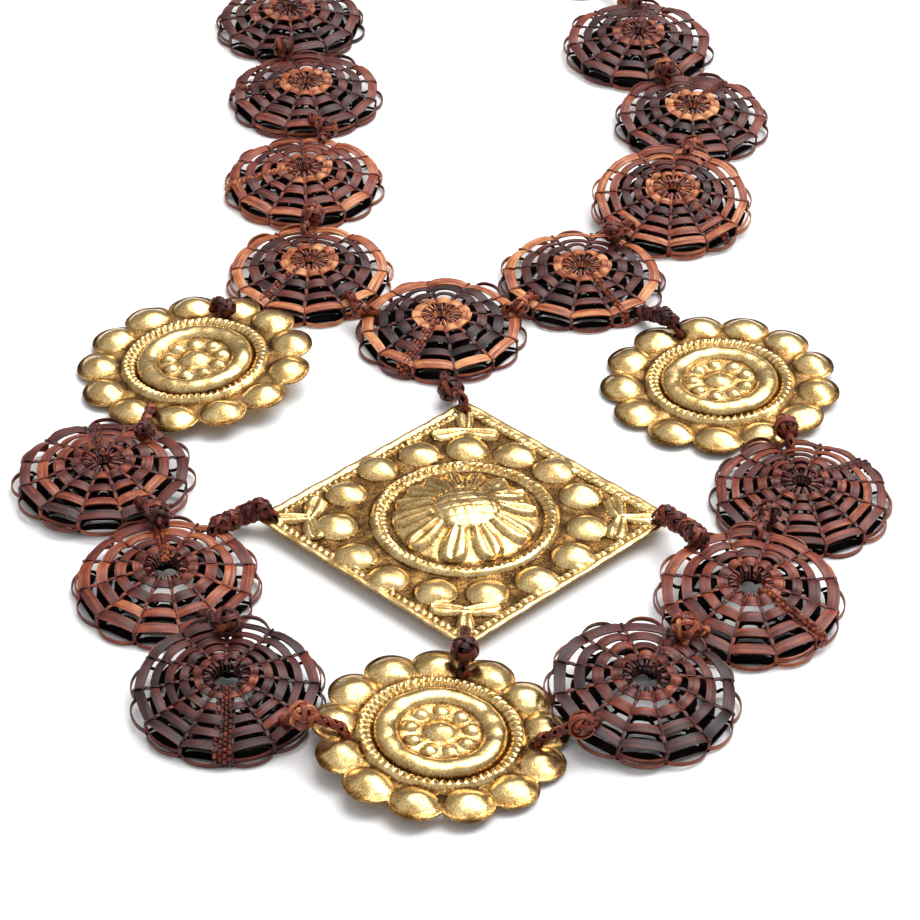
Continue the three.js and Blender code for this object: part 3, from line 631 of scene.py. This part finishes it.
def crown_knot(strips, centre, radius, tone, rng, tilt):
    """A square crown knot: three pairs of strips round a ball, each over one strip and under the next."""
    tipped = np.array(Matrix.Rotation(tilt[0], 3, "X") @ Matrix.Rotation(tilt[1], 3, "Y")
                      @ Matrix.Rotation(tilt[2], 3, "Z"))
    gap = radius * 0.29
    circle = np.linspace(0, 2 * math.pi, 25)
    for axis in range(3):
        second, third = (axis + 1) % 3, (axis + 2) % 3
        for side in (-1, 1):
            ring = math.sqrt(radius ** 2 - gap ** 2) - 0.3
            line = np.zeros((len(circle), 3))
            line[:, axis] = side * gap * (1 + 0.18 * np.sin(circle * 2 + rng.uniform(0, 3)))
            line[:, second] = ring * np.cos(circle)
            line[:, third] = ring * np.sin(circle)
            near = np.abs(line[:, second]) > np.abs(line[:, third])
            weave = np.clip(np.where(near, -line[:, third], line[:, second]) / gap, -1, 1)
            lift = 0.34 * side * weave * np.abs(np.cos(2 * circle)) ** 0.7
            out = unit(line)
            lean = unit(out + rng.uniform(-0.22, 0.22, 3))
            line = line + out * lift[:, None]
            strips.lay(line @ tipped.T + centre, lean @ tipped.T, radius * rng.uniform(0.17, 0.22),
                       tone + rng.uniform(-0.24, 0.14), cup=0.06)
    # The ball inside takes the near-black painted-shade tone, which stands for the shade in the gaps between the
    # strips.
    strips.blob(centre, radius * 0.6, PAINTED_SHADE_TONE)


def loose_ends(strips, centre, reach, tone, rng):
    """Cut ends of strip that stand out of a knot and curl over."""
    for _ in range(LOOSE_ENDS):
        turn, rise = rng.uniform(0, 2 * math.pi), rng.uniform(0.1, 0.75)
        share = np.linspace(0.15, 1, 7)[:, None]
        line = polar(1, turn, rise) * share - UP * share ** 2 * rise * 0.9
        line = centre + line * reach * rng.uniform(0.75, 1.05)
        strips.lay(line, [rng.uniform(-0.6, 0.6), rng.uniform(-0.6, 0.6), 1.0], rng.uniform(0.3, 0.5),
                   tone + rng.uniform(-0.2, 0.15), cup=0.1)


def strip_loop(strips, centre, radius, heading, tone, rng):
    """One strip bent round into a ring that stands beside its knot."""
    circle = np.linspace(0.2, 2 * math.pi - 0.2, 19)
    aside = polar(1, heading, 0)
    out = aside * np.cos(circle)[:, None] + UP * np.sin(circle)[:, None]
    axle = np.cross(aside, UP)
    line = centre + out * radius + axle * np.linspace(-0.5, 0.5, len(circle))[:, None]
    strips.lay(line, out, 0.62, tone + rng.uniform(-0.1, 0.1), across=axle, cup=0.05)


def towards_open(name, x, y):
    """The direction from a rosette's hub to a knot, moved into the gap between two spokes."""
    inverse = np.linalg.inv(rosette_frames[name])
    local = inverse @ np.array([x, y, rosette_frames[name][2, 3], 1])
    angle = math.atan2(local[1], local[0])
    sector = math.floor(angle / SPOKE_ANGLE) * SPOKE_ANGLE
    room = LEG_ROOM / LEG_RADIUS
    return min(max(angle, sector + room), sector + SPOKE_ANGLE - room)


def in_necklace(place, points):
    return [(place @ np.array([*point, 1]))[:3] for point in points]


def rosette_end(name, x, y, low=False):
    angle = towards_open(name, x, y)
    stations = OVER_THE_RIM if low else OVER_THE_BAND
    return in_necklace(rosette_frames[name], [polar(radius, angle, height) for radius, height in stations])


# Where each knot sits, its tone and how the braid is finished there: a ball, a ball with loose ends, a small
# ball, a small ball with a standing loop, or a row of small knots. A low one starts over the rosette's rim.
KNOT_SIZES = {"ball": 1.0, "low ball": 1.05, "ends": 0.95, "pair": 0.72, "low pair": 0.8, "loop": 0.85,
              "row": 0.8, "low row": 0.8}
ROW_KNOT_SIZES = {"row": 0.84, "low row": 0.66}
ROW_PLACES = (0.42, 0.85)  # as shares of the way from the middle knot to either end
TIE_SEED = 1000
CHAIN_TIES = [
    ("left_0", "left_1", -41, 239, 6.5, RED, "ball"), ("left_1", "left_2", -51.2, 192.5, 8.1, RED, "ball"),
    ("left_2", "left_3", -37.4, 148.8, 6.5, RED, "ball"), ("left_3", "left_4", -39.5, 102.4, 7.0, RED, "ball"),
    ("left_4", "centre", -26, 58, 5.8, LIGHT, "pair"), ("centre", "right_4", 15.6, 59.5, 5.8, LIGHT, "pair"),
    ("right_4", "right_3", 40.6, 91.5, 8.6, RED, "ends"), ("right_3", "right_2", 64.5, 137.8, 7.4, RED, "ends"),
    ("right_2", "right_1", 59, 178.8, 9.0, RED, "ball"), ("right_1", "right_0", 50.2, 228.4, 3.6, RED, "ball"),
    ("lower_left_1", "lower_left_2", -71.2, -34, 9.3, BROWN, "ends"),
    ("lower_left_2", "lower_left_3", -52.4, -77.4, 11.8, BROWN, "ball"),
    ("lower_right_1", "lower_right_2", 72.8, -32.8, 8.7, BROWN, "ends"),
    ("lower_right_2", "lower_right_3", 50.5, -78.4, 10.9, LIGHT, "ball"),
]


def tie_piece(node_name, start, end, knot, tone, style, seed):
    rng = np.random.default_rng(TIE_SEED + seed)
    strips = Strips()
    braid(strips, [*start, knot, *end[::-1]], tone, rng)
    crown_knot(strips, knot, KNOT_RADIUS * KNOT_SIZES[style], tone, rng, rng.uniform(-0.6, 0.6, 3))
    if style == "ends":
        loose_ends(strips, knot, KNOT_RADIUS * 1.45, tone, rng)
    if style == "loop":
        strip_loop(strips, knot + [0, -1.2, 0], KNOT_RADIUS * 0.85, rng.uniform(-0.4, 0.4), tone, rng)
    if style in ROW_KNOT_SIZES:
        radius = KNOT_RADIUS * ROW_KNOT_SIZES[style]
        for other in (start[-1], end[-1]):
            for share in ROW_PLACES:
                crown_knot(strips, knot + (other - knot) * share, radius, tone, rng, rng.uniform(-0.5, 0.5, 3))
    piece = strips.piece(f"braided_{node_name}", np.eye(4), knotted_strip)
    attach(piece, "root")
    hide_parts(node_name)


for seed, (first, second, *knot, tone, style) in enumerate(CHAIN_TIES):
    tie_piece(f"tie_{first}_to_{second}", rosette_end(first, *knot[:2]), rosette_end(second, *knot[:2]),
              np.array(knot, float), tone, style, seed)


# Medallions: thin brass sheet struck from behind, so every boss is hollow underneath, then filed round its
# thirteen lobes and punched between them for the ties.
SHEET = 0.45
SHEET_TOP = 0.8
RIM_BOSSES = 13
RIM_BOSS_ANGLE = 2 * math.pi / RIM_BOSSES
RIM_BOSS_LENGTH, RIM_BOSS_WIDTH, RIM_BOSS_LIP = 11.0, 9.8, 0.7
BOSS_RISE = 2.2
HOLE_RADIUS = 1.1
# Radius, half width, rise and teeth of the rope ring, then radius, half width and rise of the wide ring.
MEDALLION_ROPE = (17.1, 1.75, 1.4, 59)
WIDE_RING, WIDE_RING_HALF, WIDE_RING_RISE = 12.05, 2.9, 2.2
RECESS_RADIUS, RECESS_RISE = 9.6, 0.6
SMALL_BOSSES, SMALL_BOSS_RING, SMALL_BOSS_RADIUS, SMALL_BOSS_TURN = 9, 6.85, 1.95, 0.02
MIDDLE_BOSS_RADIUS, MIDDLE_BOSS_RISE = 3.9, 1.7
HOLLOW_PASSES = 7  # rounds of averaging that find the recesses where patina stayed
FIELD_RADIUS = 19.2  # the even part of the sheet's grid, inside the scalloped one


def turned(x, y, angle):
    """Distances out along a direction and aside from it."""
    return x * math.cos(angle) + y * math.sin(angle), y * math.cos(angle) - x * math.sin(angle)


def round_boss(x, y, ring, angle, radius):
    """One over the middle of a round boss, and nothing from its edge on."""
    share = ((x - ring * math.cos(angle)) ** 2 + (y - ring * math.sin(angle)) ** 2) / radius ** 2
    return np.clip(1 - share, 0, 1)


def ridge(distance, half, rise, power=0.75):
    return rise * np.clip(1 - (distance / half) ** 2, 0, 1) ** power


def medallion_edge(angle, reach):
    """The scalloped outline: the far side of an oval lobe at every rim boss."""
    ring = reach - RIM_BOSS_LIP - RIM_BOSS_WIDTH / 2
    off = (angle + RIM_BOSS_ANGLE / 2) % RIM_BOSS_ANGLE - RIM_BOSS_ANGLE / 2
    deep, wide = RIM_BOSS_WIDTH / 2 + RIM_BOSS_LIP, RIM_BOSS_LENGTH / 2 + RIM_BOSS_LIP * 1.1
    a = np.cos(off) ** 2 / deep ** 2 + np.sin(off) ** 2 / wide ** 2
    b = -2 * ring * np.cos(off) / deep ** 2
    c = ring ** 2 / deep ** 2 - 1
    return (-b + np.sqrt(np.maximum(b * b - 4 * a * c, 0))) / (2 * a)


def medallion_relief(x, y, reach, rng):
    radius, angle = np.hypot(x, y), np.arctan2(y, x)
    height = np.zeros_like(x)
    ring = reach - RIM_BOSS_LIP - RIM_BOSS_WIDTH / 2
    for i in range(RIM_BOSSES):
        at = i * RIM_BOSS_ANGLE + rng.uniform(-0.01, 0.01)
        inward, along = turned(x, y, at)
        lean = rng.uniform(-0.25, 0.25)
        size = rng.uniform(0.95, 1.03)
        share = ((inward - ring) / (RIM_BOSS_WIDTH / 2 * size)) ** 2
        share = share + ((along - lean) / (RIM_BOSS_LENGTH / 2 * size)) ** 2
        struck = BOSS_RISE * rng.uniform(0.9, 1.05) * np.clip(1 - share, 0, 1) ** 1.05
        height = np.maximum(height, struck)
    height = np.maximum(height, toothed_ring(radius, angle, *MEDALLION_ROPE))
    height = np.maximum(height, ridge(radius - WIDE_RING, WIDE_RING_HALF, WIDE_RING_RISE, 0.55))
    recess = RECESS_RISE * np.clip((RECESS_RADIUS - radius) / 0.5, 0, 1)
    for i in range(SMALL_BOSSES):
        at = i * 2 * math.pi / SMALL_BOSSES + SMALL_BOSS_TURN
        struck = rng.uniform(0.95, 1.2) * round_boss(x, y, SMALL_BOSS_RING, at, SMALL_BOSS_RADIUS) ** 0.7
        height = np.maximum(height, recess + struck)
    height = np.maximum(height, recess + ridge(radius, MIDDLE_BOSS_RADIUS, MIDDLE_BOSS_RISE, 1.0))
    return height + dents(x, y, rng)


def toothed_ring(radius, angle, ring, half, rise, teeth):
    """A raised ring with slanting teeth cut into its crest and inner flank."""
    tooth = np.clip(0.5 + 0.85 * np.cos(teeth * angle + 1.6 * (radius - ring)), 0, 1)
    cut = np.clip(1 - ((radius - ring + 0.75) / 1.15) ** 2, 0, 1) ** 0.5
    return ridge(radius - ring, half, rise) * (1 - 0.62 * cut * (1 - tooth))


def dents(x, y, rng):
    """The unevenness of sheet that is worked by hand, over 4 to 12 mm."""
    height = np.zeros_like(x)
    for _ in range(9):
        way, length = rng.uniform(0, 2 * math.pi), rng.uniform(4, 12)
        wave = 2 * math.pi / length
        height += 0.035 * np.sin(wave * (x * math.cos(way) + y * math.sin(way)) + rng.uniform(0, 6))
    return height


def hollows(relief, closed):
    """How far each point lies below the mean of the sheet round it."""
    mean = relief
    for _ in range(HOLLOW_PASSES):
        tall = np.pad(mean, ((1, 1), (0, 0)), mode="edge")
        wide = np.pad(mean, ((0, 0), (1, 1)), mode="wrap" if closed else "edge")
        mean = (2 * mean + tall[:-2] + tall[2:] + wide[:, :-2] + wide[:, 2:]) / 6
    return mean - relief


def sheet_piece(name, x, y, relief, closed, place, holes, material):
    """A struck sheet from a grid of heights, with round holes and the thickness of the metal."""
    rows, columns = x.shape
    i = np.arange(rows * columns).reshape(rows, columns)
    if closed:
        right = np.roll(i, -1, axis=1)
        quads = np.stack([i[:-1], i[1:], right[1:], right[:-1]], axis=-1).reshape(-1, 4)
    else:
        quads = np.stack([i[:-1, :-1], i[1:, :-1], i[1:, 1:], i[:-1, 1:]], axis=-1).reshape(-1, 4)
    plan = np.stack([x.ravel(), y.ravel()], axis=1)
    for hole in holes:
        away = plan - hole
        distance = np.hypot(*away.T)
        inside = (distance[quads] < HOLE_RADIUS).any(axis=1)
        border = np.intersect1d(quads[inside].ravel(), quads[~inside].ravel())
        plan[border] = hole + away[border] / distance[border][:, None] * HOLE_RADIUS
        quads = quads[~inside]
    used = np.unique(quads)
    renumber = np.zeros(rows * columns, int)
    renumber[used] = np.arange(len(used))
    points = np.c_[plan, SHEET_TOP + relief.ravel(), np.ones(len(plan))][used]
    mesh = mesh_of(name, ((points @ place.T)[:, :3] + layout_origin) * MM, renumber[quads])
    hold(mesh, "relief", relief.ravel()[used])
    hold(mesh, "hollow", hollows(relief, closed).ravel()[used])
    hold(mesh, "plan", np.c_[plan, np.zeros(len(plan))][used])
    mesh.materials.append(material)
    made = added(name, mesh)
    thickness = made.modifiers.new("sheet_thickness", "SOLIDIFY")
    thickness.thickness = SHEET * MM
    thickness.offset = -1
    return made


# Brass, struck from behind and burnished: pale and bright on the raised work, with olive-brown patina that
# was left in the recesses and speckles the rest, and a fine unevenness from the punches.
def struck_brass(name, ground_patina, hollow_patina, stipple):
    material = new_material(name)
    relief, hollow = attribute(material, "relief"), attribute(material, "hollow")
    plan = attribute(material, "plan", "Vector")
    # Patina breaks up over patches of about 4 mm, specks are about 0.4 mm and hammering about 2 mm.
    blotches = noise(material, plan, 0.28, 4.0, 0.6)
    specks = noise(material, plan, 2.2, 5.0, 0.75)
    hammering = noise(material, plan, 0.34, 1.0)
    low = remap(material, relief, (0.0, 0.4), (ground_patina, 0.0))
    patina = shaded(material, low, (hollow, (0.0, 0.3), (0.0, hollow_patina)),
                    (blotches, (0.35, 0.65), (-0.12, 0.16)), (specks, (0.38, 0.62), (-0.1, 0.42)))
    colour = node(material, "ShaderNodeValToRGB", {"Fac": patina}, stops=[
        (0.0, "#f6dba2"), (1.0, "#3a2812"), (0.25, "#d9b271"), (0.5, "#a67d45"), (0.75, "#6b4c2a")])
    marks = [(hammering, 0.4, 0.0006), (specks, 0.3, 0.00015)]
    if stipple:
        # Dots of 0.7 mm, about 1.3 mm apart, only on the flat ground.
        dots = node(material, "ShaderNodeTexVoronoi", {"Vector": plan, "Scale": 0.78, "Randomness": 0.7})
        dot = remap(material, dots.outputs["Distance"], (0.12, 0.34), (1.0, 0.0))
        ground = remap(material, relief, (0.15, 0.35), (1.0, 0.0))
        marks.append((combined(material, "MULTIPLY", dot, ground), 1.0, 0.0003))
    return surfaced(material, {
        "Base Color": colour.outputs["Color"], "Metallic": 1.0,
        "Roughness": remap(material, patina, (0.0, 1.0), (0.16, 0.5)), "Normal": bumped(material, *marks)})


burnished_brass = struck_brass("brass_struck_and_burnished", 0.26, 0.5, False)
# Each medallion's name, place, spin, tips at the far and right side, reach, the radius at which its holes
# are punched, and the rim bosses that its holes follow.
MEDALLIONS = [
    ("left", -67.1, 37.3, 12.3, 0, 4.7, 30.2, 24, (2, 8)),
    ("right", 65.5, 30.3, 16, 0, 1.5, 30.2, 23, (3, 10)),
    ("bottom", -4.3, -106.7, 7.8, 0, -4.1, 28.8, 20.9, (2, 6, 9, 12)),
]
MEDALLION_LIFT = 0.6
medallion_frames = {}
medallion_holes = {}
for seed, (name, x, y, spin, far, right, reach, punch, holes) in enumerate(MEDALLIONS):
    rng = np.random.default_rng(40 + seed)
    place = place_matrix(x, y, spin, far, right, reach, MEDALLION_LIFT)
    medallion_frames[name] = place
    turns = np.arange(RIM_BOSSES * 32) * RIM_BOSS_ANGLE / 32
    edge = medallion_edge(turns, reach)
    inner = np.linspace(0.02, FIELD_RADIUS, 42)[:, None] * np.ones_like(turns)
    outer = FIELD_RADIUS + np.linspace(0, 1, 15)[1:, None] * (edge - FIELD_RADIUS)
    radius = np.concatenate([inner, outer])
    grid_x, grid_y = radius * np.cos(turns), radius * np.sin(turns)
    relief = medallion_relief(grid_x, grid_y, reach, rng)
    punched = {hole: polar(punch, (hole + 0.5) * RIM_BOSS_ANGLE, 0)[:2] for hole in holes}
    medallion_holes[name] = punched
    medallion = sheet_piece(f"struck_medallion_{name}", grid_x, grid_y, relief, True, place, punched.values(),
                            burnished_brass)
    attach(medallion, "root")
    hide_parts(f"medallion_{name}")


# Rhombus plate: the same sheet struck from behind over a pitch bed, with a rope border, a ring of fifteen
# bosses, a rope ring round a thirteen-petalled flower on a mound, a three-lobed leaf in each corner and a
# ground stippled with a point.
PLATE_LENGTH, PLATE_DEPTH = 100.2, 97.4
PLATE_LIFT = 2.6
PLATE_INRADIUS = PLATE_LENGTH * PLATE_DEPTH / 2 / math.hypot(PLATE_LENGTH, PLATE_DEPTH)
CORNER_HOLE_INSET = 4.6
# How far in from the edge, half width and rise.
RIM_BEAD, ROPE_BORDER = (0.9, 1.2, 0.7), (2.75, 0.95, 0.9)
ROPE_BORDER_PITCH = 2.0
PLATE_BOSSES, PLATE_BOSS_RING, PLATE_BOSS_RADIUS, PLATE_BOSS_TURN = 15, 29.2, 5.2, -7
PLATE_ROPE = (20.75, 1.9, 1.35, 71)
MOUND_RADIUS, MOUND_SLOPE, MOUND_RISE = 17.6, 9.6, 3.2
# The petals' directions, which the maker placed by eye, with the wide ones towards the wearer's lap.
PETALS = (7, 33, 57, 80, 101, 121, 141, 162, 187, 222, 259, 293, 331)
PETAL_ROOT, PETAL_LENGTH, PETAL_RISE = 7.2, 10.2, 1.5
PETAL_HALF, WIDE_PETAL_HALF = 2.45, 3.3
FLOWER_DOME_RADIUS, FLOWER_DOME_RISE, HATCH_PITCH = 8.1, 2.0, 2.6
LEAF_INSET, LEAF_LENGTH, LEAF_RISE = 13.2, 8.8, 1.2
LEAF_LOBES = ((-102, 2.7), (0, 2.2), (102, 2.7))  # direction from the corner's, and half width
PLATE_GRID = 191


def finger(out, side, length, half, rise):
    """A convex lobe with a groove along it, narrow at its root and round at its tip."""
    t = np.clip(out / length, 0, 1)
    width = half * (0.45 + 0.55 * np.sin(np.pi / 2 * np.clip(t * 1.4, 0, 1)))
    width = np.maximum(width * np.sqrt(np.clip(1 - (np.clip(t - 0.75, 0, 1) / 0.25) ** 2, 0, 1)), 0.01)
    across = side / width
    lobe = rise * np.clip(1 - across ** 2, 0, 1) ** 0.6 * (1 - 0.55 * np.exp(-(across / 0.26) ** 2))
    return np.where((out > 0) & (out < length), lobe, 0)


def hatch(along):
    """Fine cut lines at an even pitch."""
    return np.exp(-((along % HATCH_PITCH - HATCH_PITCH / 2) / 0.2) ** 2)


def plate_relief(x, y, edge, along, rng):
    radius, angle = np.hypot(x, y), np.arctan2(y, x)
    height = np.maximum(0, ridge(edge - RIM_BEAD[0], *RIM_BEAD[1:], 0.6))
    tooth = np.clip(0.5 + 0.85 * np.cos(2 * math.pi * (along + 0.5 * edge) / ROPE_BORDER_PITCH), 0, 1)
    height = np.maximum(height, ridge(edge - ROPE_BORDER[0], *ROPE_BORDER[1:]) * (0.3 + 0.7 * tooth))
    for i in range(PLATE_BOSSES):
        at = math.radians(i * 360 / PLATE_BOSSES + PLATE_BOSS_TURN + rng.uniform(-1, 1))
        # The ring of bosses is drawn out at the left and drawn in at the top.
        ring = PLATE_BOSS_RING + 1.6 * max(0, -math.cos(at)) ** 6 - max(0, math.sin(at)) ** 3
        struck = round_boss(x, y, ring, at, PLATE_BOSS_RADIUS * rng.uniform(0.97, 1.03)) ** 0.8
        height = np.maximum(height, BOSS_RISE * rng.uniform(0.95, 1.1) * struck)
    height = np.maximum(height, toothed_ring(radius, angle, *PLATE_ROPE))
    mound = MOUND_RISE * np.clip((MOUND_RADIUS - radius) / MOUND_SLOPE, 0, 1) ** 0.9
    height = np.maximum(height, mound)
    for direction in PETALS:
        out, side = turned(x, y, math.radians(direction))
        half = WIDE_PETAL_HALF if 200 < direction < 340 else PETAL_HALF
        petal = finger(out - PETAL_ROOT, side, PETAL_LENGTH, half, PETAL_RISE)
        height = np.maximum(height, mound + petal)
    hatching = np.maximum(hatch(x + 0.3 * y), hatch(y - 0.2 * x))
    dome = mound + 0.15 + ridge(radius, FLOWER_DOME_RADIUS, FLOWER_DOME_RISE, 0.6) - 0.2 * hatching
    height = np.where(radius < FLOWER_DOME_RADIUS - 0.1, dome, height)
    for corner in range(4):
        at = corner * math.pi / 2
        root = (PLATE_LENGTH, PLATE_DEPTH)[corner % 2] / 2 - LEAF_INSET
        for spread, half in LEAF_LOBES:
            out, side = turned(x - root * math.cos(at), y - root * math.sin(at), at + math.radians(spread))
            height = np.maximum(height, finger(out + 0.4, side, LEAF_LENGTH, half, LEAF_RISE))
    return height + dents(x, y, rng)


PLATE_CENTRE = (1.25, -28.6)
plate_place = place_matrix(*PLATE_CENTRE, 0, 0, 0, 0, PLATE_LIFT)
plate_line = np.linspace(-1, 1, PLATE_GRID)
across_u, across_v = np.meshgrid(plate_line, plate_line, indexing="ij")
plate_x = PLATE_LENGTH / 4 * (across_u + across_v)
plate_y = PLATE_DEPTH / 4 * (across_v - across_u)
plate_edge = (1 - np.maximum(np.abs(across_u), np.abs(across_v))) * PLATE_INRADIUS
plate_along = np.where(np.abs(across_u) > np.abs(across_v), across_v, across_u) * PLATE_INRADIUS
plate_heights = plate_relief(plate_x, plate_y, plate_edge, plate_along, np.random.default_rng(60))
hole_x, hole_y = PLATE_LENGTH / 2 - CORNER_HOLE_INSET, PLATE_DEPTH / 2 - CORNER_HOLE_INSET
plate_holes = [np.array(hole) for hole in ((hole_x, 0), (0, hole_y), (-hole_x, 0), (0, -hole_y))]
stippled_brass = struck_brass("brass_struck_and_stippled", 0.6, 0.3, True)
plate = sheet_piece("struck_rhombus_plate", plate_x, plate_y, plate_heights, False, plate_place, plate_holes,
                    stippled_brass)
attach(plate, "root")
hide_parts("rhombus_plate")


# The ties into the brass go over the sheet's edge and down through a punched hole. Their ends are given by
# how far out from the hole and how high they lie.
OVER_THE_EDGE = ((0.0, -0.2), (0.0, 1.4), (0.9, 3.2), (2.4, 4.1))


def hole_end(place, hole, x, y):
    inverse = np.linalg.inv(place)
    local = inverse @ np.array([x, y, place[2, 3], 1])
    outward = unit(local[:2] - hole)
    return in_necklace(place, [(*(hole + outward * out), z) for out, z in OVER_THE_EDGE])


BRASS_TIES = [
    ("left_4", "left", 2, -60, 58.5, 5.6, BROWN, "low pair"),
    ("lower_left_1", "left", 8, -77.2, 0.6, 8.6, RED, "pair"),
    ("right_4", "right", 3, 52.4, 55.8, 5.4, DARK, "low row"),
    ("lower_right_1", "right", 10, 79.9, 2.8, 8.2, RED, "loop"),
    ("centre", "plate", 1, -2.3, 24.2, 4.3, BROWN, "low ball"),
    ("lower_left_2", "plate", 2, -51.6, -27.5, 3.8, BROWN, "row"),
    ("lower_right_2", "plate", 0, 53.4, -40.4, 9.5, BROWN, "row"),
    ("lower_left_3", "bottom", 6, -34.2, -109, 10.7, LIGHT, "ball"),
    ("lower_right_3", "bottom", 12, 26.3, -111, 10.2, RED, "loop"),
]
for seed, (first, target, hole, *knot, tone, style) in enumerate(BRASS_TIES):
    if target == "plate":
        end, target_name = hole_end(plate_place, plate_holes[hole], *knot[:2]), "plate"
    else:
        end = hole_end(medallion_frames[target], medallion_holes[target][hole], *knot[:2])
        target_name = f"medallion_{target}"
    start = rosette_end(first, *knot[:2], low=style.startswith("low"))
    tie_piece(f"tie_{first}_to_{target_name}", start, end, np.array(knot, float), tone, style, 50 + seed)
plate_knot = np.array([1.1, -84, 8.8])
tie_piece("tie_plate_to_medallion_bottom", hole_end(plate_place, plate_holes[3], *plate_knot[:2]),
          hole_end(medallion_frames["bottom"], medallion_holes["bottom"][2], *plate_knot[:2]),
          plate_knot, BROWN, "ball", 70)


# Clasp, hidden behind the wearer's neck: a braided loop from one end of the chain, and a hook of round brass
# wire from the other that passes through it and bends back.
CLASP_WIRE = 0.9
CLASP_LOOP = 4.2
CLASP_HEIGHT = 4.6
CLASP_ROOM = 0.5
loop_place, hook_place = (rosette_frames[name][:3, 3] for name in ("left_0", "right_0"))
clasp_line = (loop_place[1] + hook_place[1]) / 2
loop_middle = (loop_place[0] + hook_place[0]) / 2 - CLASP_LOOP * 0.6
clasp_strips = Strips()
clasp_rng = np.random.default_rng(90)
near = np.array([loop_middle - CLASP_LOOP, clasp_line, CLASP_HEIGHT])
loop_turn = np.linspace(math.pi, 3 * math.pi, 17)
loop_line = [loop_middle, clasp_line, CLASP_HEIGHT] + polar(CLASP_LOOP, loop_turn, 0)
for clasp_route in ([*rosette_end("left_0", *near[:2]), near], loop_line):
    braid(clasp_strips, clasp_route, BROWN, clasp_rng)
clasp_loop = clasp_strips.piece("braided_clasp_loop", np.eye(4), knotted_strip)
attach(clasp_loop, "root")
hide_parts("clasp_loop")

apart = TIE_RADIUS + CLASP_WIRE + CLASP_ROOM
inside = loop_middle + CLASP_LOOP - apart
beyond = inside + apart * 1.5
bend = [(beyond + CLASP_WIRE, apart), (inside + CLASP_WIRE, apart), (inside - CLASP_WIRE, CLASP_WIRE / 2),
        (inside + CLASP_WIRE, -apart), (beyond + CLASP_WIRE, -apart)]
wire_points = [(x, clasp_line, CLASP_HEIGHT + z) for x, z in bend]
wire_route, _ = smooth_route([*rosette_end("right_0", beyond, clasp_line), *wire_points])
wire_curve = bpy.data.curves.new("clasp_hook_wire", "CURVE")
wire_curve.dimensions = "3D"
wire_curve.bevel_depth = CLASP_WIRE * MM
wire_curve.use_fill_caps = True
wire = wire_curve.splines.new("POLY")
wire.points.add(len(wire_route) - 1)
wire.points.foreach_set("co", np.c_[(wire_route + layout_origin) * MM, np.ones(len(wire_route))].ravel())
# Drawn through a die, so it is smooth and even, with a soft bright line along it.
drawn_wire = new_material("brass_wire_drawn_and_bent")
drawn_marks = node(drawn_wire, "ShaderNodeTexNoise", {"Scale": 1800.0, "Detail": 3.0}).outputs["Fac"]
wire_curve.materials.append(surfaced(drawn_wire, {
    "Base Color": linear("#d9b06a"), "Metallic": 1.0, "Roughness": 0.28,
    "Normal": bumped(drawn_wire, (drawn_marks, 0.2, 0.00005))}))
clasp_hook = added("bent_wire_clasp_hook", wire_curve)
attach(clasp_hook, "root")
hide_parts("clasp_hook")
